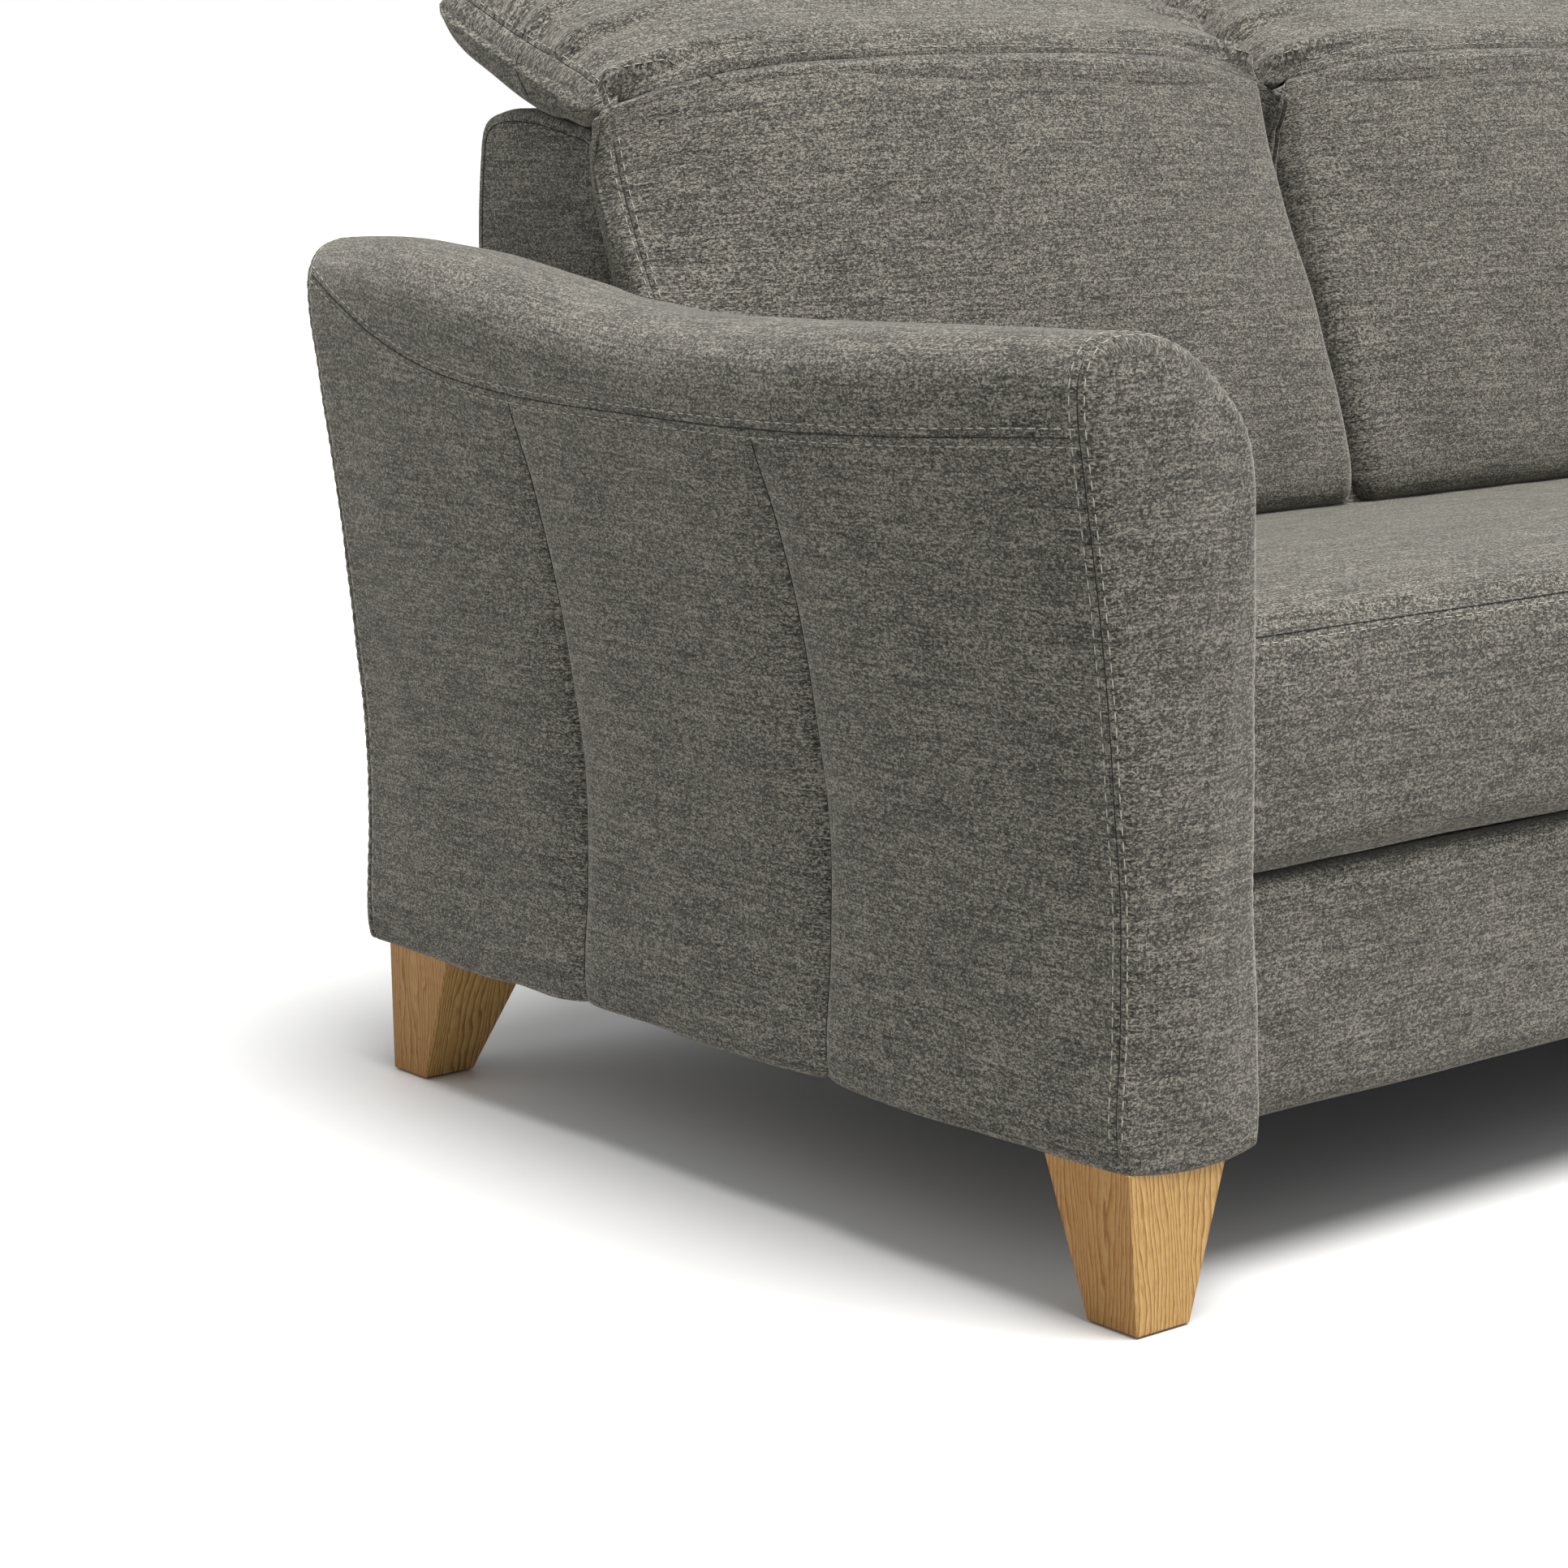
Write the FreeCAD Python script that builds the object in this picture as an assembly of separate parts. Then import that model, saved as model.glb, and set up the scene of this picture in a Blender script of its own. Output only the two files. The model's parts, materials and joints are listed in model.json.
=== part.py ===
"""Two-seat sofa with flared padded arms, adjustable headrests and tapered oak legs.

Frame: origin on the floor at the middle of the sofa's outline, X across the width, the front faces -Y,
+Z up. All sizes in millimetres. Every physical piece, or set of like pieces, is one STEP file in parts/.
"""
import FreeCAD, Part
import math
import os

V = FreeCAD.Vector
X_AXIS = V(1, 0, 0)
Y_AXIS = V(0, 1, 0)
Z_AXIS = V(0, 0, 1)
SIDES = (("left", -1), ("right", 1))

# ---- driving dimensions: overall -------------------------------------------------------------------
seat_width = 1476.0          # clear width between the two arms
arm_front = -478.0           # front face of the arms
arm_rear = 448.0             # rear face of the arms
fabric_bottom = 118.0        # underside of the upholstery above the floor
gap = 2.0                    # clearance between neighbouring soft pieces

# ---- arms ------------------------------------------------------------------------------------------
arm_base = 114.0             # arm thickness at its foot
arm_flare = 60.0             # how far the arm's outer face leans out at the top, at mid length
flare_front = 0.58           # share of the flare at the front end
flare_rear = 0.62            # share of the flare at the rear end
arm_top_front = 654.0        # height of the armrest over its front half
arm_top_rear = 693.0         # height of the armrest at the back
arm_cavity_in = 22.0         # padding between the arm's inner face and its frame
arm_cavity_out = 20.0        # padding between the arm's outer face and its frame
arm_frame_height = 440.0     # height of the timber frame inside the arm
arm_rail_height = 40.0
arm_post_width = 40.0
skin = 3.0                   # fabric and wadding closed under the arm

# ---- legs ------------------------------------------------------------------------------------------
leg_foot = 47.5              # side of the square foot
leg_taper = 0.174            # how much each leg face leans out per unit of height
rear_leg_front_lean = 0.612  # lean of the rear leg's front face, forwards going up
rear_leg_back_lean = 0.28    # lean of the rear leg's rear face, forwards going up
leg_inset_x = 22.0           # foot's outer face inside the arm's outer face
front_leg_inset = 22.0       # foot's front face behind the arm's front face
rear_leg_inset = 6.5         # rear foot's rear face ahead of the arm's rear face
glide_height = 3.0
glide_radius = 19.0
plate_side = 64.0
plate_thick = 3.0
bolt_radius = 4.0
bolt_clearance = 0.25
bolt_in_leg = 45.0
bolt_in_rail = 30.0

# ---- seat ------------------------------------------------------------------------------------------
apron_front = -436.0         # front face of the covered front rail
apron_thick = 14.0
seat_front = -446.0          # front face of the seat cushion
seat_base = 286.0            # underside of the seat cushion
seat_edge = 452.0            # height of the seat's front edge
seat_crown = 468.0           # highest line of the seat
seat_back_height = 430.0     # seat height under the back cushions
rail_thick = 28.0
rail_top = 272.0
rail_lift = 4.0              # rails above the underside of the upholstery
spring_count = 10
spring_wire = 1.8            # radius of the spring wire
spring_half_pitch = 40.0
spring_reach = 24.0          # half the width of a spring's bends
felt_thick = 4.0

# ---- back ------------------------------------------------------------------------------------------
back_rear = 430.0            # rear face of the covered back
back_top = 787.0
back_inset = 13.0            # covered back's side inside the arm's inner face
back_skin = 6.0
back_corner = 30.0           # rounding of the back's top rear edge
back_face_low = 215.0        # front plane of the back frame at the seat rails
back_face_high = 262.0       # front plane of the back frame at its top
post_thick = 25.0
cushion_foot = 127.0         # where the back cushion's front face meets the seat
cushion_bulge = 20.0
webbing_width = 60.0
webbing_thick = 2.0

# ---- headrests -------------------------------------------------------------------------------------
pivot_y = 289.0
pivot_z = 795.0
rest_incline = 27.0          # headrest's incline above the horizontal when it is folded back
fold_radius = 70.0           # padded roll round the pivot
fold_gap = 0.5
hub_radius = 18.0
seam_turn = 152.7            # direction of the fold seam, seen from the pivot
headrest_travel = 50.0       # how far the headrest tips up, in degrees
headrest_length = 207.0      # pivot to tip
headrest_front = 64.0        # face of the pad above the pivot's line
headrest_under = 34.0        # underside of the pad below the pivot's line
hinge_inset = 110.0          # hinge to the nearer end of its headrest
hinge_plate = 4.0
hinge_ear = 14.0
rivet_radius = 4.0
rivet_clearance = 0.05
washer_thick = 0.8
plate_play = 0.1
board_thick = 12.0

half_seat = seat_width / 2
arm_outer = half_seat + arm_base
arm_inner = half_seat
half_cushion = half_seat - gap
rail_base = fabric_bottom + rail_lift


# ---- small helpers ---------------------------------------------------------------------------------
def box(low, high):
    """Axis-aligned block between two corners, given in any order."""
    a = [min(p, q) for p, q in zip(low, high)]
    b = [max(p, q) for p, q in zip(low, high)]
    return Part.makeBox(b[0] - a[0], b[1] - a[1], b[2] - a[2], V(*a))


def rod(start, axis, radius, length):
    """Round bar from a point along an axis."""
    return Part.makeCylinder(radius, length, V(*start), axis)


def wire_yz(edges, x):
    """Closed outline in the YZ plane at x, from edges drawn with (y, z) points."""
    wire = Part.Wire(edges)
    wire.translate(V(x, 0, 0))
    return wire


def line(p, q):
    return Part.LineSegment(V(0, *p), V(0, *q)).toShape()


def arc(p, middle, q):
    return Part.Arc(V(0, *p), V(0, *middle), V(0, *q)).toShape()


def prism(edges, x_start, x_end):
    """Solid of a YZ outline between two X positions."""
    low = min(x_start, x_end)
    face = Part.Face(wire_yz(edges, low))
    return face.extrude(V(abs(x_end - x_start), 0, 0))


def polygon_prism(points, x_start, x_end):
    ring = points + points[:1]
    return prism([line(p, q) for p, q in zip(ring, ring[1:])], x_start, x_end)


def mirrored(shape):
    return shape.mirror(V(0, 0, 0), X_AXIS)


def sided(shape_left, side):
    """The left-hand piece as drawn, or its mirror image for the right."""
    return shape_left if side < 0 else mirrored(shape_left)


def save(name, solids):
    """Write one piece, or a set of like pieces, to parts/NAME.step."""
    solids = solids if isinstance(solids, list) else [solids]
    flat = [solid for shape in solids for solid in shape.Solids]
    shape = flat[0] if len(flat) == 1 else Part.makeCompound(flat)
    shape.exportStep("parts/" + name + ".step")
    print(name, len(flat), "solids", round(sum(s.Volume for s in flat) / 1000.0, 1), "cm3")


# ---- legs ------------------------------------------------------------------------------------------
leg_top = fabric_bottom - plate_thick
leg_out = arm_outer - leg_inset_x
front_foot_y = arm_front + front_leg_inset
rear_foot_y = arm_rear - rear_leg_inset - leg_foot


def leg_section(height, y_foot, front_lean, back_lean):
    """Square outline of a left leg at a height; the leans move its faces as it rises."""
    grow = leg_taper * height
    x_out = -leg_out - grow
    x_in = -leg_out + leg_foot + grow
    y_front = y_foot - front_lean * height
    y_back = y_foot + leg_foot + back_lean * height
    corners = [V(x_out, y_front, height), V(x_in, y_front, height),
               V(x_in, y_back, height), V(x_out, y_back, height)]
    return Part.makePolygon(corners + corners[:1])


def leg_axis(y_foot, front_lean, back_lean, height):
    """Centre of a left leg's section at a height."""
    middle = leg_foot / 2 + (back_lean - front_lean) * height / 2
    return (-leg_out + leg_foot / 2, y_foot + middle, height)


LEGS = (("front", front_foot_y, leg_taper, leg_taper),
        ("rear", rear_foot_y, rear_leg_front_lean, -rear_leg_back_lean))


def leg_bolt_place(leg):
    """Where the hanger bolt stands: over the middle of the leg's top."""
    _, y_foot, front_lean, back_lean = leg
    return leg_axis(y_foot, front_lean, back_lean, leg_top)


def make_leg(leg):
    _, y_foot, front_lean, back_lean = leg
    low = leg_section(glide_height, y_foot, front_lean, back_lean)
    high = leg_section(leg_top, y_foot, front_lean, back_lean)
    solid = Part.makeLoft([low, high], True, True)
    x, y, z = leg_bolt_place(leg)
    hole = rod((x, y, z - bolt_in_leg), Z_AXIS, bolt_radius + bolt_clearance, bolt_in_leg)
    return solid.cut(hole)


def make_leg_hardware():
    glides = []
    plates = []
    bolts = []
    for leg in LEGS:
        _, y_foot, front_lean, back_lean = leg
        x, y, _ = leg_axis(y_foot, front_lean, back_lean, 0.0)
        glide = rod((x, y, 0), Z_AXIS, glide_radius, glide_height)
        x, y, z = leg_bolt_place(leg)
        half = plate_side / 2
        plate = box((x - half, y - half, z), (x + half, y + half, z + plate_thick))
        plate = plate.cut(rod((x, y, z), Z_AXIS, bolt_radius + bolt_clearance, plate_thick))
        length = bolt_in_leg + plate_thick + skin + bolt_in_rail - 1
        bolt = rod((x, y, z - bolt_in_leg + 1), Z_AXIS, bolt_radius, length)
        for _, side in SIDES:
            glides.append(sided(glide, side))
            plates.append(sided(plate, side))
            bolts.append(sided(bolt, side))
    save("leg_glides", glides)
    save("leg_plates", plates)
    save("leg_bolts", bolts)


# ---- arms ------------------------------------------------------------------------------------------
ARM_STATIONS = (  # place along the arm, share of the flare, height of the armrest
    (arm_front, flare_front, arm_top_front - 14),
    (arm_front + 26, flare_front + 0.06, arm_top_front),
    (-180.0, 1.0, arm_top_front - 6),
    (-20.0, 1.0, arm_top_front - 5),
    (100.0, 1.0, arm_top_rear - 31),
    (200.0, 1.0, arm_top_rear - 16),
    (300.0, 0.9, arm_top_rear - 5),
    (arm_rear - 30, flare_rear + 0.04, arm_top_rear),
    (arm_rear, flare_rear, arm_top_rear - 16),
)


def arm_section(y, share, top):
    """Outline of the left arm across its length: straight inside, leaning out and rolled over on top."""
    flare = arm_flare * share
    rise = top - arm_top_front
    out = -arm_outer
    outer = [V(out, y, fabric_bottom), V(out, y, 230), V(out - flare * 0.04, y, 330),
             V(out - flare * 0.36, y, 455), V(out - flare * 0.80, y, 565 + rise * 0.5),
             V(out - flare, y, 620 + rise), V(out - flare + 12, y, 644 + rise),
             V(out - flare + 46, y, top), V(-arm_inner - 50, y, 633 + rise),
             V(-arm_inner - 12, y, 590 + rise), V(-arm_inner, y, 530 + rise * 0.5)]
    curve = Part.BSplineCurve()
    curve.interpolate(outer)
    foot = V(-arm_inner, y, fabric_bottom)
    inner = Part.LineSegment(outer[-1], foot).toShape()
    base = Part.LineSegment(foot, outer[0]).toShape()
    return Part.Wire([curve.toShape(), inner, base])


arm_box_out = -arm_outer + arm_cavity_out
arm_box_in = -arm_inner - arm_cavity_in
arm_box_front = arm_front + 23.0
arm_box_rear = arm_rear - 23.0
arm_box_low = fabric_bottom + skin
arm_box_high = arm_box_low + arm_frame_height
arm_bolt_places = ((arm_front + 188.0, 200.0), (arm_front + 558.0, 200.0))


def make_arm_pad():
    pad = Part.makeLoft([arm_section(*station) for station in ARM_STATIONS], True, False)
    cavity = box((arm_box_out, arm_box_front, arm_box_low), (arm_box_in, arm_box_rear, arm_box_high))
    pad = pad.cut(cavity)
    for leg in LEGS:
        x, y, z = leg_bolt_place(leg)
        pad = pad.cut(rod((x, y, z), Z_AXIS, bolt_radius + 1, plate_thick + skin + 1))
    for y, z in arm_bolt_places:
        pad = pad.cut(rod((arm_box_in - 1, y, z), X_AXIS, bolt_radius + 1, arm_cavity_in + 2))
    return pad


def make_arm_frame():
    """Bottom rail, top rail, three posts and two stiles for the bolts that hold the arm on."""
    rail = box((arm_box_out, arm_box_front, arm_box_low),
               (arm_box_in, arm_box_rear, arm_box_low + arm_rail_height))
    top = box((arm_box_out, arm_box_front, arm_box_high - arm_rail_height),
              (arm_box_in, arm_box_rear, arm_box_high))
    for leg in LEGS:
        x, y, _ = leg_bolt_place(leg)
        rail = rail.cut(rod((x, y, arm_box_low), Z_AXIS, bolt_radius + bolt_clearance, bolt_in_rail))
    low = arm_box_low + arm_rail_height
    high = arm_box_high - arm_rail_height
    middle = (arm_box_front + arm_box_rear - arm_post_width) / 2
    posts = []
    for y in (arm_box_front, middle, arm_box_rear - arm_post_width):
        posts.append(box((arm_box_out, y, low), (arm_box_in, y + arm_post_width, high)))
    stiles = []
    for y, z in arm_bolt_places:
        stile = box((arm_box_in - arm_post_width, y - 30, low), (arm_box_in, y + 30, low + 100))
        stiles.append(stile.cut(rod((arm_box_in - arm_post_width, y, z), X_AXIS,
                                    bolt_radius + bolt_clearance, arm_post_width)))
    return rail, top, posts, stiles


def make_arm_bolts():
    """Machine bolts through the seat's side rail into the arm's stiles, heads inside the seat box."""
    bolts = []
    for y, z in arm_bolt_places:
        length = arm_post_width + arm_cavity_in + rail_thick
        start = arm_box_in - arm_post_width
        head = rod((start + length, y, z), X_AXIS, 8, 5)
        bolts.append(rod((start, y, z), X_AXIS, bolt_radius, length).fuse(head))
    return bolts


# ---- seat box --------------------------------------------------------------------------------------
front_rail_y = apron_front + apron_thick
rear_rail_y = back_face_low - 2 * webbing_thick - rail_thick


def make_seat_box():
    inner = half_seat - rail_thick
    front = box((-inner, front_rail_y, rail_base), (inner, front_rail_y + rail_thick, rail_top))
    rear = box((-inner, rear_rail_y, rail_base), (inner, rear_rail_y + rail_thick, rail_top))
    save("seat_front_rail", front)
    save("seat_rear_rail", rear)
    side_rail = box((-half_seat, front_rail_y, rail_base),
                    (-inner, rear_rail_y + rail_thick, rail_top))
    for y, z in arm_bolt_places:
        side_rail = side_rail.cut(rod((-half_seat, y, z), X_AXIS, bolt_radius + bolt_clearance,
                                      rail_thick))
    for name, side in SIDES:
        save("seat_side_rail_" + name, sided(side_rail, side))
    low = front_rail_y + rail_thick
    stretcher = box((-rail_thick / 2, low, rail_base), (rail_thick / 2, rear_rail_y, rail_top - 50))
    save("seat_centre_rail", stretcher)
    blocks = []
    leg_of_block = 70.0
    for y, turn in ((low, 1), (rear_rail_y, -1)):
        corner = V(-inner, y, rail_base + 20)
        ring = [corner, corner + V(leg_of_block, 0, 0), corner + V(0, turn * leg_of_block, 0), corner]
        block = Part.Face(Part.makePolygon(ring)).extrude(V(0, 0, 90))
        for _, side in SIDES:
            blocks.append(sided(block, side))
    save("seat_corner_blocks", blocks)


def make_spring(x, y_start, y_end, z):
    """Sinuous wire spring: short straights across the seat joined by half-round bends."""
    bends = int((y_end - y_start) // spring_half_pitch)
    pitch = (y_end - y_start) / bends
    radius = pitch / 2
    reach = max(spring_reach - radius, 1.0)
    edges = []
    sign = 1
    y = y_start
    previous = V(x, y, z)
    for _ in range(bends):
        turn_in = V(x + sign * reach, y, z)
        turn_out = V(x + sign * reach, y + pitch, z)
        apex = V(x + sign * (reach + radius), y + radius, z)
        edges.append(Part.LineSegment(previous, turn_in).toShape())
        edges.append(Part.Arc(turn_in, apex, turn_out).toShape())
        previous = turn_out
        y += pitch
        sign = -sign
    edges.append(Part.LineSegment(previous, V(x, y, z)).toShape())
    path = Part.Wire(edges)
    section = Part.Wire(Part.makeCircle(spring_wire, V(x, y_start, z), X_AXIS))
    return path.makePipeShell([section], True, False)


def make_seat_inside():
    low = front_rail_y + rail_thick / 2
    high = rear_rail_y + rail_thick / 2
    z = rail_top + 2 + spring_wire + 0.5
    pitch = (seat_width - 2 * rail_thick) / spring_count
    first = -(spring_count - 1) * pitch / 2
    spring = make_spring(0, low, high, z)
    springs = []
    clips = []
    for index in range(spring_count):
        x = first + index * pitch
        springs.append(spring.translated(V(x, 0, 0)))
        for y in (low, high):
            clips.append(box((x - 12, y - 9, rail_top), (x + 12, y + 9, rail_top + 2)))
    save("seat_springs", springs)
    save("spring_clips", clips)
    felt_low = z + spring_wire + 0.4
    felt = box((-half_cushion + 6, front_rail_y + 4, felt_low),
               (half_cushion - 6, rear_rail_y + rail_thick, felt_low + felt_thick))
    save("seat_felt", felt)


def make_seat_cushion():
    """Bench cushion over both places: upright front with a rounded edge, falling towards the back."""
    rear = back_face_low - 2 * webbing_thick - 1
    edge = 24.0
    low = (seat_front, seat_base)
    edges = [line(low, (seat_front, seat_edge - edge)),
             arc((seat_front, seat_edge - edge), (seat_front + 5, seat_edge - 5),
                 (seat_front + edge, seat_edge + 4)),
             arc((seat_front + edge, seat_edge + 4), (seat_front + 190, seat_crown),
                 (cushion_foot, seat_back_height)),
             line((cushion_foot, seat_back_height), (rear, seat_back_height - 6)),
             line((rear, seat_back_height - 6), (rear, seat_base)),
             line((rear, seat_base), low)]
    return prism(edges, -half_cushion, half_cushion)


def make_soft_base():
    save("seat_cushion", make_seat_cushion())
    apron = box((-half_cushion, apron_front, fabric_bottom),
                (half_cushion, apron_front + apron_thick, seat_base - 0.5))
    save("front_apron", apron)
    half = back_half - back_skin - gap
    cover = box((-half, front_rail_y, rail_base - 2), (half, post_rear - gap, rail_base - 0.5))
    save("dust_cover", cover)


def make_centre_support():
    """Black support leg under the middle of the seat, with a foot that screws out."""
    y = -135.0
    foot_height = 12.0
    sleeve = rod((0, y, foot_height), Z_AXIS, 20, rail_base - 2 - foot_height)
    sleeve = sleeve.cut(rod((0, y, foot_height), Z_AXIS, 5.1, 40))
    foot = rod((0, y, 0), Z_AXIS, 24, foot_height - 2).fuse(rod((0, y, 2), Z_AXIS, 5, 40))
    save("centre_support_leg", sleeve)
    save("centre_support_foot", foot)


# ---- back ------------------------------------------------------------------------------------------
post_rear = back_rear - back_skin
post_top = back_top - back_skin
back_half = half_seat - back_inset
knee_z = 300.0
cap_y = 345.0


def back_outline(offset, rear, top, low):
    """Side outline of the back: upright rear, sloping shoulder under the headrest, leaning front."""
    round_r = back_corner - offset
    start = (rear, top - round_r)
    end = (rear - round_r, top)
    middle = (rear - round_r * (1 - math.sqrt(0.5)), top - round_r * (1 - math.sqrt(0.5)))
    return [line((back_face_low, low), (back_face_low, knee_z)),
            line((back_face_low, knee_z), (back_face_high, top - 19)),
            line((back_face_high, top - 19), (cap_y, top)),
            line((cap_y, top), end),
            arc(end, middle, start),
            line(start, (rear, low)),
            line((rear, low), (back_face_low, low))]


def hinge_places(side):
    """X of the two hinges of one headrest."""
    places = (-half_cushion + hinge_inset, -hinge_inset)
    return [side * -x for x in places]


def make_back_frame():
    low = rail_base
    half = back_half - back_skin
    inner = prism(back_outline(back_skin, post_rear, post_top, low), -half, half)
    outer = prism(back_outline(0, back_rear, back_top, fabric_bottom), -back_half, back_half)
    opening = box((-half, back_face_low - 60, low), (half, post_rear, post_top - 40))
    hollow = inner.fuse(box((-half, back_face_low - 1, fabric_bottom), (half, post_rear, low)))
    cover = outer.cut(hollow)
    cover = cover.cut(opening)
    for _, side in SIDES:
        for x in hinge_places(side):
            slot = box((x - 9, back_face_high - 20, post_top - 60), (x + 10, cap_y - 15, back_top + 1))
            cover = cover.cut(slot)
    save("back_cover", cover)
    post = prism(back_outline(back_skin, post_rear, post_top, low), -half, -half + post_thick)
    centre = prism(back_outline(back_skin, post_rear, post_top, low), -post_thick / 2, post_thick / 2)
    for name, side in SIDES:
        save("back_post_" + name, sided(post, side))
    save("back_post_centre", centre)
    return half


rail_y = 275.0
rail_depth = 70.0
hinge_rail_top = post_top - 29.0
hinge_rail_height = 28.0
flange_thick = 3.0
screw_radius = 2.5
screw_length = 22.0


def screw_places(x):
    """The two screws of one hinge bracket."""
    return ((x + 17, rail_y + 12), (x + 17, rail_y + 32))


def make_back_rails(half):
    clear_low = -half + post_thick
    clear_high = -post_thick / 2
    z = hinge_rail_top - hinge_rail_height
    rail = box((clear_low, rail_y, z), (clear_high, rail_y + rail_depth, hinge_rail_top))
    lower = box((clear_low, post_rear - 30, rail_base), (clear_high, post_rear, rail_base + 90))
    middle = box((clear_low, post_rear - 30, 420), (clear_high, post_rear, 480))
    rails = []
    for _, side in SIDES:
        piece = sided(rail, side)
        for x in hinge_places(side):
            for sx, sy in screw_places(x):
                hole = rod((sx, sy, hinge_rail_top - screw_length), Z_AXIS, screw_radius + 0.1,
                           screw_length)
                piece = piece.cut(hole)
        rails.append(piece)
    save("back_top_rail", rails)
    save("back_lower_rail", [lower, mirrored(lower)])
    save("back_middle_rail", [middle, mirrored(middle)])
    straps = []
    pitch = (clear_high - clear_low) / 5
    strap_y = back_face_low - webbing_thick - 0.2
    for index in range(5):
        x = clear_low + (index + 0.5) * pitch
        strap = polygon_prism([(strap_y, knee_z), (strap_y + webbing_thick, knee_z),
                               (back_face_high - 0.2, post_top - 40),
                               (back_face_high - webbing_thick - 0.2, post_top - 40)],
                              x - webbing_width / 2, x + webbing_width / 2)
        straps.append(strap)
        straps.append(mirrored(strap))
    save("back_webbing", straps)


def polar(radius, degrees):
    """Point at a distance and direction from the headrest pivot, as (y, z)."""
    angle = math.radians(degrees)
    return (pivot_y + radius * math.cos(angle), pivot_z + radius * math.sin(angle))


def make_back_cushion():
    """Left back cushion: leans back from the seat and ends in a lip round the headrest's roll."""
    seam = polar(fold_radius + fold_gap, seam_turn)
    foot = (cushion_foot, seat_back_height + gap)
    middle = ((foot[0] + seam[0]) / 2 - cushion_bulge, (foot[1] + seam[1]) / 2)
    back_low = (back_face_low - webbing_thick - 1.5, seat_back_height + gap)
    back_high = (back_face_high - webbing_thick - 1.5, post_top - 19)
    knee = (back_low[0] + 2, back_low[1] + 10)
    edges = [arc(foot, middle, seam), line(seam, (back_high[0], seam[1])),
             line((back_high[0], seam[1]), back_high), line(back_high, knee),
             line(knee, back_low), line(back_low, foot)]
    cushion = prism(edges, -half_cushion, -gap)
    roll = rod((-half_seat - 10, pivot_y, pivot_z), X_AXIS, fold_radius + fold_gap, half_seat + 20)
    return cushion.cut(roll)


# ---- headrests -------------------------------------------------------------------------------------
def pad_point(u, v):
    """Point of the headrest, u along its incline from the pivot and v square to it, as (y, z)."""
    angle = math.radians(rest_incline)
    return (pivot_y + u * math.cos(angle) - v * math.sin(angle),
            pivot_z + u * math.sin(angle) + v * math.cos(angle))


def hinge_slots(side, radius):
    """Room round each hinge for its plates and rivet heads."""
    return [rod((x - 9, pivot_y, pivot_z), X_AXIS, radius, 19) for x in hinge_places(side)]


board_low = -10.0
board_from = 55.0
board_to = headrest_length - 35.0


def pad_block(u0, v0, u1, v1, x0, x1):
    """Block that lies along the headrest's incline."""
    return polygon_prism([pad_point(u0, v0), pad_point(u1, v0), pad_point(u1, v1), pad_point(u0, v1)],
                         x0, x1)


def arm_pieces(x, play):
    """One hinge arm: a web beside its bracket and a flange under the headrest's board."""
    start = x + plate_play + washer_thick + plate_play
    web = pad_block(0, board_low - 17 - play, board_to - 40, board_low + play,
                    start - play, start + hinge_plate + play)
    ear = rod((start - play, pivot_y, pivot_z), X_AXIS, hinge_ear + play, hinge_plate + 2 * play)
    flange = pad_block(board_from + 5, board_low - flange_thick - play, board_to - 40,
                       board_low + play, start + hinge_plate - play, start + 34 + play)
    return ear.fuse([web, flange])


def arm_screws(x):
    """Two screws up through the flange into the board."""
    screws = []
    for u in (board_from + 20, board_from + 50):
        foot = pad_point(u, board_low - flange_thick)
        top = pad_point(u, board_low + board_thick - 2)
        axis = V(0, top[0] - foot[0], top[1] - foot[1])
        screws.append(((x + 22, foot[0], foot[1]), axis, axis.Length))
    return screws


def make_headrest(name, side):
    """Board, hinge arms, screws and pad of one headrest."""
    end_out = side * half_cushion
    end_in = side * gap
    hub = rod((min(end_out, end_in), pivot_y, pivot_z), X_AXIS, hub_radius, half_cushion - gap)
    fold_end = polar(fold_radius, seam_turn)
    fold_mid = polar(fold_radius, seam_turn - headrest_travel / 2)
    roll_end = polar(fold_radius, seam_turn - headrest_travel)
    tip_top = pad_point(headrest_length - 34, headrest_front - 14)
    tip = pad_point(headrest_length, 12)
    tip_low = pad_point(headrest_length - 22, board_low - 12)
    under = pad_point(headrest_length / 2, -headrest_under)
    hub_low = pad_point(4, -hub_radius + 0.5)
    crown = pad_point(headrest_length / 2 - 10, headrest_front)
    edges = [arc(fold_end, fold_mid, roll_end), arc(roll_end, crown, tip_top),
             arc(tip_top, tip, tip_low), arc(tip_low, under, hub_low),
             line(hub_low, (pivot_y, pivot_z)), line((pivot_y, pivot_z), fold_end)]
    pad = prism(edges, end_out, end_in).fuse(hub)
    board = pad_block(board_from, board_low, board_to, board_low + board_thick,
                      end_out - side * 40, end_in + side * 40)
    pad = pad.cut(board)
    arms = []
    screws = []
    for x in hinge_places(side):
        arm = arm_pieces(x, 0)
        arms.append(arm.cut(rod((x, pivot_y, pivot_z), X_AXIS, rivet_radius + rivet_clearance, 20)))
        pad = pad.cut(arm_pieces(x, 0.4))
        for start, axis, length in arm_screws(x):
            hole = rod(start, axis, screw_radius + 0.1, length)
            pad = pad.cut(hole)
            board = board.cut(hole)
            arms[-1] = arms[-1].cut(hole)
            screws.append(rod(start, axis, screw_radius, length - 0.5))
    for slot in hinge_slots(side, hub_radius + 1):
        pad = pad.cut(slot)
    save("headrest_pad_" + name, pad)
    save("headrest_board_" + name, board)
    save("headrest_hinge_arms_" + name, arms)
    save("headrest_screws_" + name, screws)


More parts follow.
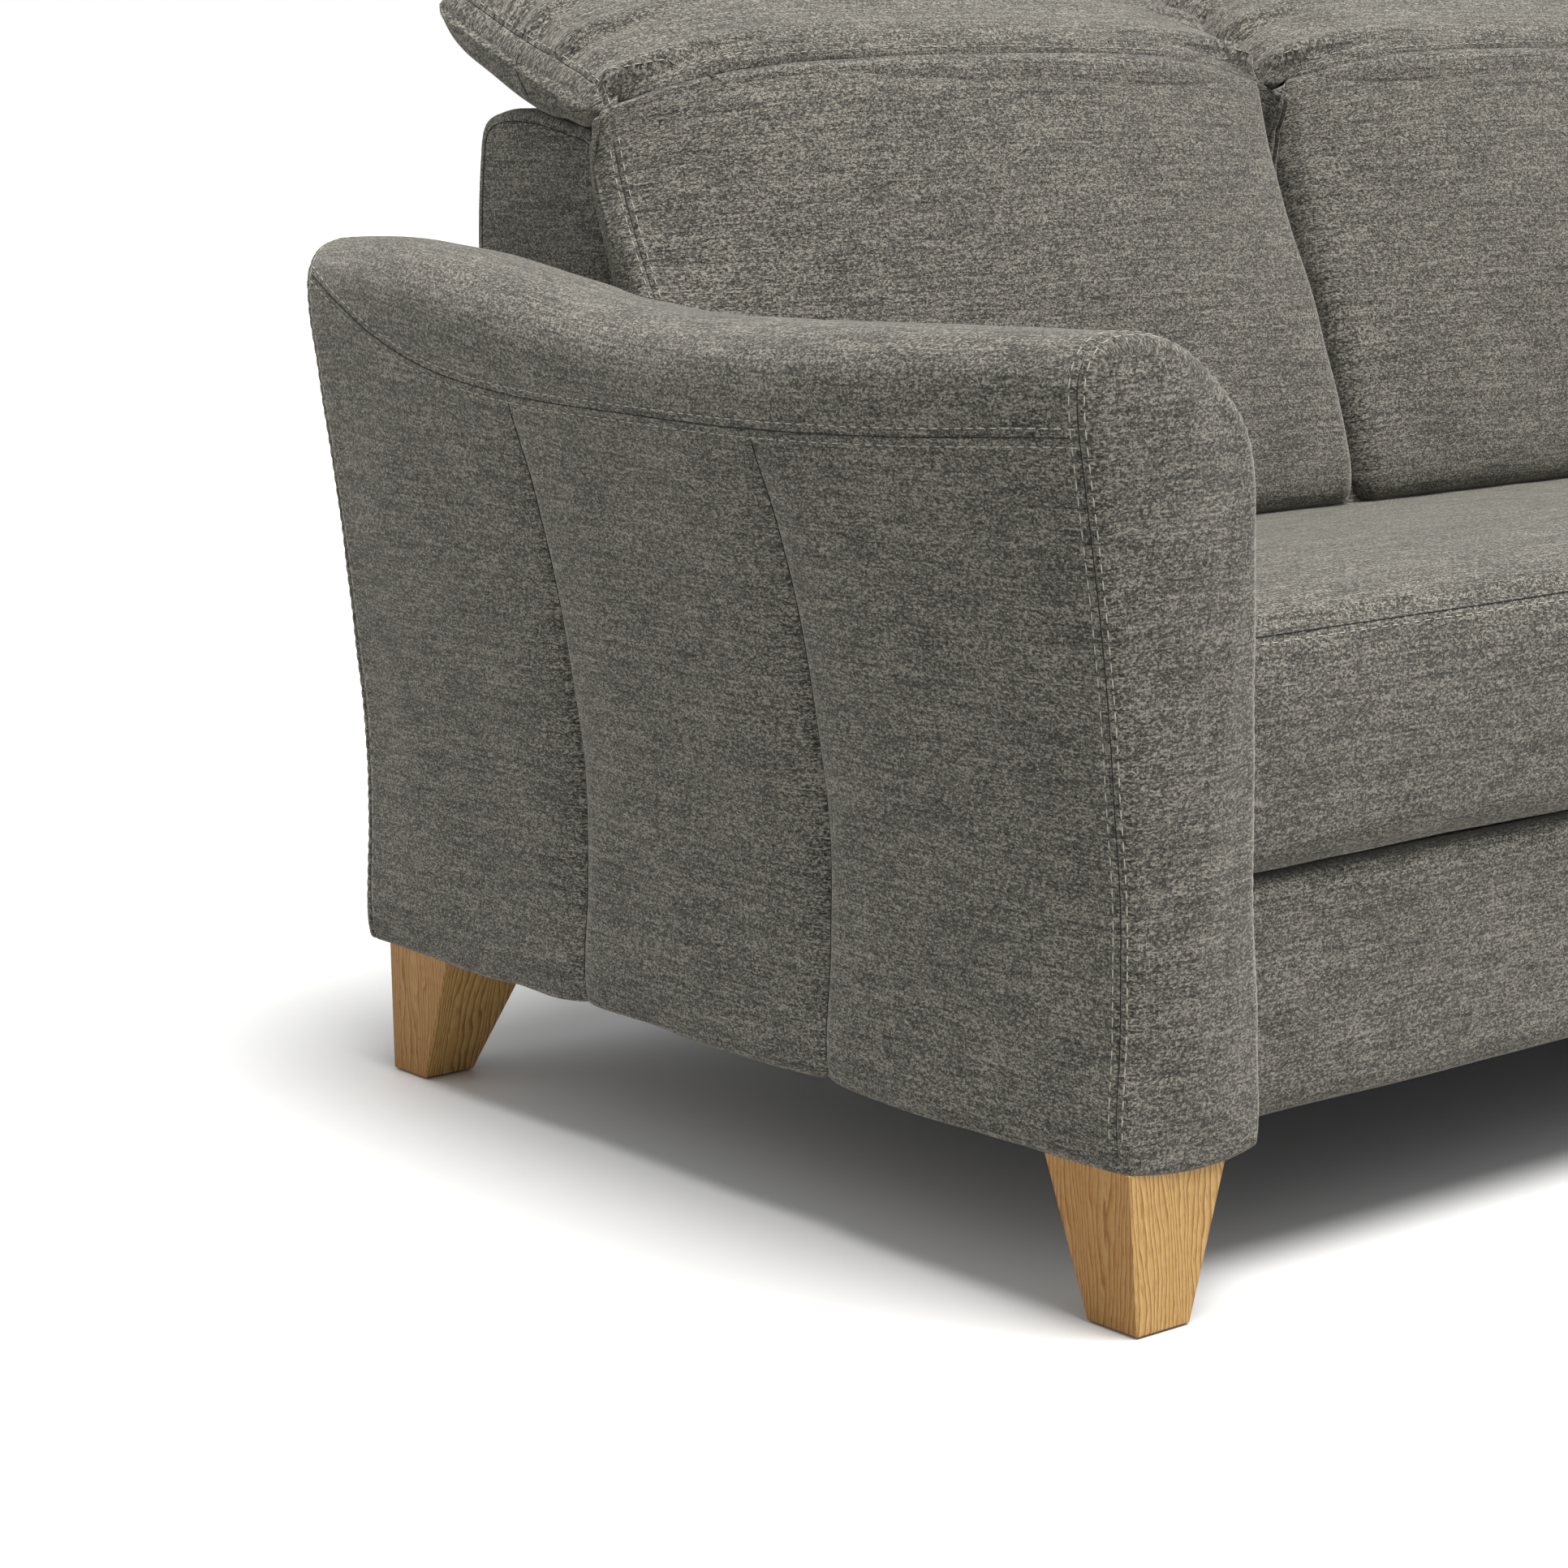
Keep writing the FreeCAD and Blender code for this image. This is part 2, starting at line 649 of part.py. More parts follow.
def make_hinge_brackets():
    """Fixed half of each headrest hinge: bracket, rivet, friction washer and two screws."""
    brackets = []
    rivets = []
    washers = []
    screws = []
    for _, side in SIDES:
        for x in hinge_places(side):
            foot = hinge_rail_top + flange_thick
            web = box((x - hinge_plate, pivot_y - 12, hinge_rail_top),
                      (x, pivot_y + 12, pivot_z))
            ear = rod((x - hinge_plate, pivot_y, pivot_z), X_AXIS, hinge_ear, hinge_plate)
            flange = box((x - hinge_plate, rail_y + 2, hinge_rail_top), (x + 27, rail_y + 42, foot))
            bracket = ear.fuse([web, flange])
            bracket = bracket.cut(rod((x - hinge_plate, pivot_y, pivot_z), X_AXIS,
                                      rivet_radius + rivet_clearance, hinge_plate))
            for sx, sy in screw_places(x):
                bracket = bracket.cut(rod((sx, sy, hinge_rail_top), Z_AXIS, screw_radius + 0.1,
                                          flange_thick))
                shank = rod((sx, sy, foot - screw_length + 0.5), Z_AXIS, screw_radius,
                            screw_length - 0.5)
                screws.append(shank.fuse(rod((sx, sy, foot), Z_AXIS, 4.5, 2)))
            brackets.append(bracket)
            stack = 2 * hinge_plate + washer_thick + 2 * plate_play
            start = x - hinge_plate - plate_play
            shaft = rod((start, pivot_y, pivot_z), X_AXIS, rivet_radius, stack + 2 * plate_play)
            head = rod((start - 2.5, pivot_y, pivot_z), X_AXIS, 7, 2.5)
            tail = rod((start + stack + 2 * plate_play, pivot_y, pivot_z), X_AXIS, 7, 2.5)
            rivets.append(shaft.fuse([head, tail]))
            washer = rod((x + plate_play, pivot_y, pivot_z), X_AXIS, 11, washer_thick)
            washers.append(washer.cut(rod((x, pivot_y, pivot_z), X_AXIS, rivet_radius + 0.2, 5)))
    save("headrest_brackets", brackets)
    save("headrest_rivets", rivets)
    save("headrest_friction_washers", washers)
    save("bracket_screws", screws)


def main():
    os.makedirs("parts", exist_ok=True)
    for leg in LEGS:
        solid = make_leg(leg)
        for name, side in SIDES:
            save("leg_" + leg[0] + "_" + name, sided(solid, side))
    make_leg_hardware()
    make_centre_support()
    pad = make_arm_pad()
    rail, top, posts, stiles = make_arm_frame()
    bolts = make_arm_bolts()
    for name, side in SIDES:
        save("arm_pad_" + name, sided(pad, side))
        save("arm_bottom_rail_" + name, sided(rail, side))
        save("arm_top_rail_" + name, sided(top, side))
        save("arm_posts_" + name, [sided(post, side) for post in posts])
        save("arm_stiles_" + name, [sided(stile, side) for stile in stiles])
        save("arm_bolts_" + name, [sided(bolt, side) for bolt in bolts])
    make_seat_box()
    make_seat_inside()
    make_soft_base()
    half = make_back_frame()
    make_back_rails(half)
    cushion = make_back_cushion()
    for name, side in SIDES:
        save("back_cushion_" + name, sided(cushion, side))
        make_headrest(name, side)
    make_hinge_brackets()


main()
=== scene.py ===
"""Upholstery, legs and finishes for a two-seat sofa, built round its timber and steel frame."""

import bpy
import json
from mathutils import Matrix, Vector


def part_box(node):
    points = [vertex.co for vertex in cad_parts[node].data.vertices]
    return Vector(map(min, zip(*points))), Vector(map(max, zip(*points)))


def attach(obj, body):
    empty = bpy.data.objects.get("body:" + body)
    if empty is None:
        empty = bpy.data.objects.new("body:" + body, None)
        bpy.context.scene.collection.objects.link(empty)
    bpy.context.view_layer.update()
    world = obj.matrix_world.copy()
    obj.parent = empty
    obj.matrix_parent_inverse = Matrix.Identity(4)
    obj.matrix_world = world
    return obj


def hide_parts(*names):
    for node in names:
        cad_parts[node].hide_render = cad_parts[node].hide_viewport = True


bl_info = {
    "name": "Sofa with wooden legs",
    "version": (1, 0, 0),
    "blender": (4, 5, 0),
    "location": "3D View > Sidebar > Sofa",
    "description": "Sewn covers, stitching, oak legs and a studio for a two-seat sofa",
    "category": "Object",
}

import bmesh
import bpy
import json
import math
import numpy as np
from bpy.props import FloatProperty, PointerProperty, StringProperty
from mathutils import Matrix, Vector

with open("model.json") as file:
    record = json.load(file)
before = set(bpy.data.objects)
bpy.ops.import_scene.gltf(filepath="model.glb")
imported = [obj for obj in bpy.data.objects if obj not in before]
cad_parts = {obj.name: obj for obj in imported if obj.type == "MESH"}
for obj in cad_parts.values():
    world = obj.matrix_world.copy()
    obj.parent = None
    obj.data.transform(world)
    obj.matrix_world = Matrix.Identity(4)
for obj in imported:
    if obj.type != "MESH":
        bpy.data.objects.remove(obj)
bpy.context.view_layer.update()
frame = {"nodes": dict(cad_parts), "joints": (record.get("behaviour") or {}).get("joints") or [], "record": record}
NODES = frame["nodes"]
BASE = "base"
SIDES = ("left", "right")
MIRROR = np.array([-1.0, 1.0, 1.0])
MM = 0.001

PIVOT = Vector(frame["joints"][0]["pos_m"])
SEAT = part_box("seat_cushion")
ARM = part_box("arm_pad_left")
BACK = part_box("back_cover")
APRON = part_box("front_apron")
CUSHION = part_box("back_cushion_left")
FABRIC_BOTTOM = ARM[0].z - 0.003        # the hem hides the mounting plates of the legs
ARM_INNER = -ARM[1].x


# ---- sizes and colours that can be changed ---------------------------------------------------------
def hex_to_linear(code):
    """Scene-linear RGBA of an sRGB hex colour such as 8a877e."""
    channels = [int(code[i:i + 2], 16) / 255.0 for i in (0, 2, 4)]
    return [c / 12.92 if c <= 0.04045 else ((c + 0.055) / 1.055) ** 2.4 for c in channels] + [1.0]


def length(name, description, default):
    return FloatProperty(name=name, description=description, default=default, unit="LENGTH",
                         subtype="DISTANCE", precision=4)


def radians(name, description, default):
    return FloatProperty(name=name, description=description, default=default, subtype="ANGLE",
                         precision=4)


def strength(name, description, default):
    return FloatProperty(name=name, description=description, default=default, min=0.0)


def colour(name, description, default):
    return StringProperty(name=name, description=description + ", as an sRGB hex value",
                          default=default)


class SofaCovers(bpy.types.PropertyGroup):
    """Sizes of the sewn covers."""
    mesh_step: length("Mesh step", "Usual spacing of the covers' mesh", 0.009)
    edge_round: length("Edge rounding", "Radius of the padded edges along a seam", 0.013)
    pull_depth: length("Pull-in depth", "How deep the arm's upright seams are pulled in", 0.0090)
    pull_width: length("Pull-in width", "How far the pull of an upright seam reaches", 0.026)
    seam_depth: length("Seam depth", "Depth of a flat sewn seam", 0.0016)
    seam_width: length("Seam width", "Half width of a sewn seam's groove", 0.0016)
    stitch_pitch: length("Stitch pitch", "From one decorative stitch to the next", 0.0105)
    stitch_thread: length("Thread radius", "Radius of the decorative thread", 0.00048)
    # the crease line is a dark thread of painted shade along a flat seam
    crease_shade_radius: length("Crease radius", "Half width of the dark crease along a flat seam", 0.00055)
    twin_spacing: length("Twin needle spacing", "Distance of each stitch row from its seam", 0.0058)
    slackness: length("Slackness", "Height of the soft waves in the cloth", 0.0011)


class SofaFabric(bpy.types.PropertyGroup):
    """Yarn sizes and colours of the woven chenille."""
    fleck_length: length("Fleck length", "Length of the bright flecks of yarn", 0.0018)
    fleck_width: length("Fleck width", "Width of the bright flecks of yarn", 0.0010)
    slub_length: length("Slub length", "Length of the thick stretches of weft", 0.042)
    slub_width: length("Slub width", "Height of the thick stretches of weft", 0.0016)
    dark: colour("Dark yarn", "Shaded yarn between the flecks", "272522")
    middle: colour("Middle yarn", "Most of the cloth", "56544d")
    light: colour("Light yarn", "Tips of the pile", "989388")
    thread: colour("Sewing thread", "Decorative stitching", "c2beb2")


class SofaOak(bpy.types.PropertyGroup):
    """Grain and colours of the oiled oak legs."""
    ring_width: length("Ring width", "Spacing of the growth rings on a face", 0.0040)
    pore_width: length("Pore width", "Width of the dark pores", 0.0006)
    pale: colour("Early wood", "Paler wood between the rings", "edc98b")
    honey: colour("Oiled oak", "Main colour of the oak", "d3a563")
    brown: colour("Late wood", "Dark rings and pores", "895421")


class SofaStage(bpy.types.PropertyGroup):
    """Camera, lights and floor."""
    lens: FloatProperty(name="Lens", description="Focal length on a 36 mm frame, in millimetres",
                        default=84.1, min=20.0, max=300.0)
    yaw: radians("Camera turn", "Camera's turn to the sofa's right", 0.66540)
    pitch: radians("Camera tilt", "Camera's tilt below level", 0.18822)
    roll: radians("Camera roll", "Camera's roll about its own axis", -0.01667)
    key: strength("Key light", "Strength of the soft light from above, in watts per square metre", 4.1)
    spread: radians("Key spread", "Width of the soft light, as an angle", math.radians(34))
    sky: strength("Overhead light", "Strength of the very wide light overhead", 0.2)
    sky_spread: radians("Overhead spread", "Width of the light overhead, as an angle", math.radians(110))
    front: strength("Front light", "Strength of the low wide light from the front", 0.22)
    side: strength("Side light", "Strength of the wide light from the left", 0.24)
    fill: strength("Fill light", "Strength of the light from all round", 0.40)
    floor_bounce: colour("Floor bounce", "Colour of the light the floor throws back", "b2b1af")
    floor: colour("Floor", "Colour of the studio floor", "f4f3f1")


def covers():
    return bpy.context.scene.sofa_covers


def place_object(name, data):
    """New object in the scene, at the origin."""
    obj = bpy.data.objects.new(name, data)
    bpy.context.scene.collection.objects.link(obj)
    return obj


# ---- curves and sections ---------------------------------------------------------------------------
def hermite(t, start, end, leaving, arriving):
    """Smooth curve from start to end that leaves and arrives with the given slopes."""
    return ((2 * t ** 3 - 3 * t ** 2 + 1) * start + (t ** 3 - 2 * t ** 2 + t) * leaving
            + (3 * t ** 2 - 2 * t ** 3) * end + (t ** 3 - t ** 2) * arriving)


def spline_ring(points, counts):
    """Closed smooth outline through the points, with counts[i] samples after point i."""
    p = np.array(points, float)
    total = len(p)
    out = []
    for i in range(total):
        before, start, end, after = p[i - 1], p[i], p[(i + 1) % total], p[(i + 2) % total]
        span = np.linalg.norm(end - start)
        first = unit(unit(start - before) + unit(end - start)) * span
        last = unit(unit(end - start) + unit(after - end)) * span
        t = (np.arange(counts[i]) / counts[i])[:, None]
        out.append(hermite(t, start, end, first, last))
    return np.concatenate(out)


def unit(v):
    return v / max(np.linalg.norm(v), 1e-9)


def mirrored(paths):
    """Paths of points and normals on the sofa's other side."""
    return [(points * MIRROR, normals * MIRROR) for points, normals in paths]


def ring_counts(points, step):
    """Samples for each stretch of a closed outline, so that they are about a step apart."""
    p = np.array(points, float)
    spans = np.linalg.norm(np.roll(p, -1, axis=0) - p, axis=1)
    return [max(1, int(round(s / step))) for s in spans]


def smooth_interp(x, xs, ys):
    """Smooth curve through knots, flat beyond the ends."""
    x, xs, ys = np.asarray(x, float), np.array(xs, float), np.array(ys, float)
    slopes = np.gradient(ys, xs)
    slopes[0] = slopes[-1] = 0.0
    k = np.clip(np.searchsorted(xs, x) - 1, 0, len(xs) - 2)
    span = xs[k + 1] - xs[k]
    t = np.clip((x - xs[k]) / span, 0, 1)
    return hermite(t, ys[k], ys[k + 1], span * slopes[k], span * slopes[k + 1])


def step_up(x, low, high):
    """0 below low, 1 above high, with an easy curve between them."""
    t = np.clip((np.asarray(x, float) - low) / (high - low), 0, 1)
    return t * t * (3 - 2 * t)


STEP_GROWTH = 0.35      # how fast stations may spread out again beside a fine stretch
LAST_STEP = 0.2         # a last step shorter than this share of the step is joined to the one before


def places(start, end, step, fine):
    """Stations from start to end; fine lists (place, reach, step) where they stand closer."""
    marks = [start]
    while marks[-1] < end - 1e-9:
        here = marks[-1]
        gap = step
        for centre, reach, small in fine:
            away = max(0.0, abs(here - centre) - reach)
            gap = min(gap, small + away * STEP_GROWTH)
        marks.append(min(here + gap, end))
    if marks[-1] - marks[-2] < step * LAST_STEP:
        marks.pop(-2)
    return np.array(marks)


def soft_noise(u, v, scale, seed):
    """Smooth seeded noise between about -1 and 1 over a surface, with features a scale wide."""
    size = 64
    table = np.random.default_rng(seed).uniform(-1, 1, (size, size))
    a, b = np.asarray(u) / scale, np.asarray(v) / scale
    i, j = np.floor(a).astype(int), np.floor(b).astype(int)
    s, t = a - i, b - j
    s, t = s * s * (3 - 2 * s), t * t * (3 - 2 * t)

    def at(p, q):
        return table[p % size, q % size]

    return ((at(i, j) * (1 - s) + at(i + 1, j) * s) * (1 - t)
            + (at(i, j + 1) * (1 - s) + at(i + 1, j + 1) * s) * t)


def waves(u, v, *sizes):
    """Soft waves of slack cloth; sizes lists (share of the slackness, width, seed)."""
    slack = covers().slackness
    return sum(slack * share * soft_noise(u, v, width, seed) for share, width, seed in sizes)


# ---- sewn covers -----------------------------------------------------------------------------------
SEAM_REACH, SEAM_STEP = 0.0035, 0.0012      # fine mesh beside a seam
CAP_SHARE = 0.94                            # how near to its spine an end panel's last row comes


class Cover:
    """A closed padded skin: outlines set along an axis, rounded at both ends and closed by end panels.

    section gives the outline at a place on the axis, spine the middle line of an end panel. edge and
    bulge are the rounding and the swell of the two ends. soft gives the share of the rounding that
    each point of an outline takes, and seam_in how far past the rounding the two seams lie."""

    def __init__(self, axis, section, low, high, spine, edge, bulge, fine, cap_rows, step=None,
                 soft=None, seam_in=-0.002):
        self.across = 1 if axis == "x" else 0       # level direction of the end panels
        arcs = [edge[end] * math.pi / 2 for end in (0, 1)]
        flat = high - low - edge[0] - edge[1]
        total = arcs[0] + flat + arcs[1]
        seams = (arcs[0] + seam_in, total - arcs[1] - seam_in)
        close = [(arcs[0] / 2, arcs[0] / 2, arcs[0] / 6), (total - arcs[1] / 2, arcs[1] / 2, arcs[1] / 6)]
        close += [(s, SEAM_REACH, SEAM_STEP) for s in seams]
        close += [(y - low - edge[0] + arcs[0], reach, small) for y, reach, small in fine]
        rings, along = [], []
        runs = places(0.0, total, step or covers().mesh_step, close)
        for s in runs:
            near = 0 if s < total / 2 else 1
            away = s if near == 0 else total - s
            angle = max(0.0, math.pi / 2 - away / edge[near])
            place = edge[near] * (1 - math.sin(angle)) + max(0.0, away - arcs[near])
            inset = edge[near] * (1 - math.cos(angle))
            place = low + place if near == 0 else high - place
            ring = np.asarray(section(place))
            give = soft(ring)[:, None] if soft else 1.0
            rings.append(ring - outward(ring) * inset * give)
            along.append(place)
        self.first_seam = int(np.argmin(np.abs(runs - seams[0]))) + cap_rows
        self.last_seam = int(np.argmin(np.abs(runs - seams[1]))) + cap_rows
        shares = np.linspace(0, CAP_SHARE, cap_rows + 1)[1:]
        for end, way in ((0, -1), (-1, 1)):
            edge_ring, face = rings[end], along[end]
            core = spine(edge_ring)
            for s in shares:
                spot = 0 if end == 0 else len(rings)
                rings.insert(spot, edge_ring * (1 - s) + core * s)
                along.insert(spot, face + way * bulge[end] * math.sin(s * math.pi / 2))
        on_cap = np.ones(cap_rows, int)
        self.cap = np.concatenate([on_cap, np.zeros(len(runs), int), on_cap])
        self.travel = np.concatenate([np.full(cap_rows, runs[0]), runs, np.full(cap_rows, runs[-1])])
        rings = np.array(rings)
        along = np.repeat(np.array(along)[:, None], rings.shape[1], axis=1)
        level, height = rings[..., 0], rings[..., 1]
        sides = (along, level) if axis == "x" else (level, along)
        self.points = np.stack([*sides, height], axis=-1)
        self.measure()

    def measure(self):
        """Arc lengths round each outline (girth) and from row to row (run), and the normals."""
        p = self.points
        ring_steps = np.linalg.norm(np.roll(p, -1, axis=1) - p, axis=2)
        self.girth = np.concatenate([np.zeros((len(p), 1)), np.cumsum(ring_steps, axis=1)], axis=1)
        row_steps = np.linalg.norm(np.diff(p, axis=0), axis=2)
        self.run = np.concatenate([np.zeros((1, p.shape[1])), np.cumsum(row_steps, axis=0)])
        d_row = np.gradient(p, axis=0)
        d_ring = (np.roll(p, -1, axis=1) - np.roll(p, 1, axis=1)) / 2
        n = np.cross(d_ring, d_row)
        n /= np.maximum(np.linalg.norm(n, axis=2, keepdims=True), 1e-12)
        middle = p.reshape(-1, 3).mean(0)
        if np.sum((p - middle) * n) < 0:
            n = -n
        self.normals = n

    def push(self, amount):
        """Move the skin along its normals."""
        self.points = self.points + self.normals * amount[..., None]
        self.measure()

    def seam_distance(self, row):
        """Distance of every point from a seam that runs round the outline at a row."""
        return self.run - self.run[row][None, :]

    def at(self, rows, columns):
        """Points and normals at fractional rows and columns."""
        count = self.points.shape[1]
        r0 = np.clip(np.floor(rows).astype(int), 0, len(self.points) - 2)
        c0 = np.floor(columns).astype(int)
        a, b = (rows - r0)[:, None], (columns - c0)[:, None]
        out = []
        for grid in (self.points, self.normals):
            p00, p01 = grid[r0, c0 % count], grid[r0, (c0 + 1) % count]
            p10, p11 = grid[r0 + 1, c0 % count], grid[r0 + 1, (c0 + 1) % count]
            out.append((p00 * (1 - b) + p01 * b) * (1 - a) + (p10 * (1 - b) + p11 * b) * a)
        return out

    def row_beside(self, seam, offset, columns):
        """Fractional rows at a distance along the skin from a seam row, for given columns."""
        whole = np.arange(int(columns[0]), int(columns[-1]) + 2)
        runs = [self.run[:, c % self.points.shape[1]] for c in whole]
        rows = [np.interp(run[seam] + offset, run, np.arange(len(run))) for run in runs]
        return np.interp(columns, whole, rows)

    def mirror(self):
        self.points = self.points * MIRROR
        self.measure()

    def build(self, name):
        """Mesh object of the skin, with a UV map in metres that the cloth's pattern follows."""
        rows, count = self.points.shape[:2]
        bm = bmesh.new()
        bmesh.ops.create_grid(bm, x_segments=count, y_segments=rows - 1, size=0.5)
        mesh = bpy.data.meshes.new(name)
        bm.to_mesh(mesh)
        flat = np.zeros(len(mesh.vertices) * 3, np.float32)
        mesh.vertices.foreach_get("co", flat)
        flat = flat.reshape(-1, 3)
        column = np.rint((flat[:, 0] + 0.5) * count).astype(int)
        row = np.rint((flat[:, 1] + 0.5) * (rows - 1)).astype(int)
        mesh.vertices.foreach_set("co", self.points[row, column % count].astype(np.float32).ravel())
        corners = np.zeros(len(mesh.loops), np.int32)
        mesh.loops.foreach_get("vertex_index", corners)
        face_rows = row[corners].reshape(-1, 4)
        on_cap = np.repeat(self.cap[face_rows].sum(axis=1) > 1, 4)
        along_skin = np.stack([self.travel[row], self.girth[rows // 2][column]], 1)
        flat_on = self.points[row, column % count][:, [self.across, 2]]
        uv = np.where(on_cap[:, None], flat_on[corners], along_skin[corners])
        layer = mesh.uv_layers.new(name="cloth")
        layer.data.foreach_set("uv", uv.astype(np.float32).ravel())
        bm.free()
        bm = bmesh.new()
        bm.from_mesh(mesh)
        bmesh.ops.remove_doubles(bm, verts=bm.verts, dist=1e-6)
        open_edges = [e for e in bm.edges if e.is_boundary]
        bmesh.ops.holes_fill(bm, edges=open_edges, sides=0)
        caps = [f for f in bm.faces if len(f.verts) > 4]
        made = bmesh.ops.triangulate(bm, faces=caps)
        coat = bm.loops.layers.uv["cloth"]
        for face in made["faces"]:
            for loop in face.loops:
                co = loop.vert.co
                loop[coat].uv = (co[self.across], co[2])
        bmesh.ops.recalc_face_normals(bm, faces=bm.faces)
        for face in bm.faces:
            face.smooth = True
        bm.to_mesh(mesh)
        bm.free()
        return place_object(name, mesh)


def outward(ring):
    """Outward normals of a closed plane outline."""
    tangent = np.roll(ring, -1, axis=0) - np.roll(ring, 1, axis=0)
    n = np.stack([tangent[:, 1], -tangent[:, 0]], axis=1)
    n /= np.maximum(np.linalg.norm(n, axis=1, keepdims=True), 1e-12)
    area = np.sum(ring[:, 0] * np.roll(ring[:, 1], -1) - np.roll(ring[:, 0], -1) * ring[:, 1])
    return n if area > 0 else -n


def spine_between(low, high):
    """Spine of a long end panel: every outline point's nearest place on a line."""
    low, high = np.array(low), np.array(high)

    def spine(ring):
        way = high - low
        t = np.clip((ring - low) @ way / (way @ way), 0, 1)[:, None]
        return low + way * t
    return spine


def groove(distance, depth, width):
    return -depth * np.exp(-(distance / width) ** 2)


STITCH_FILL = 0.66          # share of the pitch that a stitch takes
# A crease is drawn as a row of dark threads along a flat seam: painted shade.
CREASE_PITCH = 0.009
CREASE_FILL = 1.12          # lengths of a crease overlap, so that it runs on without gaps
THREAD_RISE = 0.35          # how far a thread's middle stands above the cloth, in thread radii


def add_stitches(bm, points, normals, pitch, thread, filled):
    """Row of short stitches along a path, each a thread that dips into the cloth at its ends."""
    spans = np.linalg.norm(np.diff(points, axis=0), axis=1)
    run = np.concatenate([[0], np.cumsum(spans)])
    count = int(run[-1] / pitch)
    for index in range(count):
        s0 = (index + 0.5 - filled / 2) * pitch
        s1 = (index + 0.5 + filled / 2) * pitch
        ends = [np.array([np.interp(s, run, points[:, k]) for k in range(3)]) for s in (s0, s1)]
        up = np.array([np.interp((s0 + s1) / 2, run, normals[:, k]) for k in range(3)])
        way = ends[1] - ends[0]
        span = np.linalg.norm(way)
        x = way / max(span, 1e-9)
        z = up - x * (up @ x)
        z /= max(np.linalg.norm(z), 1e-9)
        y = np.cross(z, x)
        centre = (ends[0] + ends[1]) / 2 + z * thread * THREAD_RISE
        columns = np.stack([x * span / 2, y * thread, z * thread, centre], axis=1)
        place = Matrix([*columns.tolist(), [0, 0, 0, 1]])
        bmesh.ops.create_uvsphere(bm, u_segments=6, v_segments=4, radius=1.0,
                                  matrix=place @ Matrix.Rotation(math.pi / 2, 4, "Y"))


def thread_object(name, stitched, creased, body):
    """One object of a cover's stitch rows and of the dark lines of painted shade laid in the creases of its flat
    seams.
    """
    settings = covers()
    mesh = bpy.data.meshes.new(name)
    whole = bmesh.new()
    jobs = [(path, settings.stitch_pitch, settings.stitch_thread, STITCH_FILL, 0) for path in stitched]
    # crease rows are painted shade, in the second material
    jobs += [(path, CREASE_PITCH, settings.crease_shade_radius, CREASE_FILL, 1) for path in creased]
    for (points, normals), pitch, thread, filled, index in jobs:
        row = bmesh.new()
        add_stitches(row, points, normals, pitch, thread, filled)
        for face in row.faces:
            face.smooth = True
            face.material_index = index
        piece = bpy.data.meshes.new("row")
        row.to_mesh(piece)
        row.free()
        whole.from_mesh(piece)
        bpy.data.meshes.remove(piece)
    bmesh.ops.recalc_face_normals(whole, faces=whole.faces)
    for material in ("stitch_thread", "seam_crease")[:2 if creased else 1]:
        mesh.materials.append(bpy.data.materials[material])
    whole.to_mesh(mesh)
    whole.free()
    obj = place_object(name, mesh)
    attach(obj, body)


def dress(obj, material):
    obj.data.materials.clear()
    obj.data.materials.append(bpy.data.materials[material])


def finish_cover(obj, node, body):
    """Dress a cover, hide the frame piece it stands for, and fix it to its body."""
    dress(obj, "chenille_weave")
    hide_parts(node)
    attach(obj, body)


def sew_pair(cover, rows, creases, kind, node, fill, moving=None):
    """Left cover with its threads and their mirror image on the right; moving names turning bodies."""
    for side in SIDES:
        if side == "right":
            cover.mirror()
            rows, creases = mirrored(rows), mirrored(creases)
        body = f"{moving}_{side}" if moving else BASE
        finish_cover(cover.build(f"{kind}_cover_{side}"), f"{node}_{side}", body)
        thread_object(f"{kind}_stitching_{side}", rows, creases, body)


# ---- arms ------------------------------------------------------------------------------------------
ARM_FRONT, ARM_REAR = ARM[0].y, ARM[1].y
ARM_FOOT_OUT = -0.852        # arm's outer face at its foot
ARM_FLARE = 0.060
ARM_SHARES = ((-0.478, -0.40, -0.18, 0.10, 0.30, 0.42, 0.448), (0.58, 0.72, 1.0, 1.0, 0.88, 0.66, 0.60))
ARM_TOPS = ((-0.478, -0.26, -0.158, -0.02, 0.066, 0.18, 0.278, 0.37, 0.448),
            (0.6525, 0.6500, 0.6475, 0.6485, 0.657, 0.674, 0.6865, 0.6925, 0.690))
ARM_LONG_SEAM = ((-0.478, -0.29, -0.15, -0.025, 0.145, 0.244, 0.312, 0.368, 0.448),
                 (0.590, 0.5815, 0.579, 0.581, 0.587, 0.600, 0.618, 0.640, 0.668))
ARM_PULLS = (-0.162, 0.131)  # upright seams that are pulled in
HEM_POINTS = 4               # points of the outline that turn under at the hem, where no seam runs


def arm_outline(y):
    """Controls of the arm's outline at y: up the outer face, over the roll and down the inner face."""
    flare = ARM_FLARE * float(smooth_interp(y, *ARM_SHARES))
    top = float(smooth_interp(y, *ARM_TOPS))
    rise = top - 0.654
    out, low, inner = ARM_FOOT_OUT, FABRIC_BOTTOM, -ARM_INNER
    return [(out + 0.005, low), (out + 0.0015, low + 0.0015), (out, low + 0.005), (out + 0.001, 0.210),
            (out, 0.300), (out - flare * 0.15, 0.370), (out - flare * 0.38, 0.455),
            (out - flare * 0.66, 0.524 + rise * 0.4), (out - flare * 0.88, 0.575 + rise * 0.8),
            (out - flare * 0.99, 0.606 + rise), (out - flare * 0.94, 0.632 + rise),
            (out - flare * 0.60, 0.6495 + rise), (out + 0.015, 0.6540 + rise),
            (out + 0.050, 0.645 + rise), (out + 0.085, 0.617 + rise), (inner - 0.0095, 0.589 + rise),
            (inner - 0.0022, 0.560 + rise), (inner, 0.520 + rise), (inner, 0.300), (inner, low + 0.005),
            (inner - 0.0015, low + 0.0015), (inner - 0.005, low)]


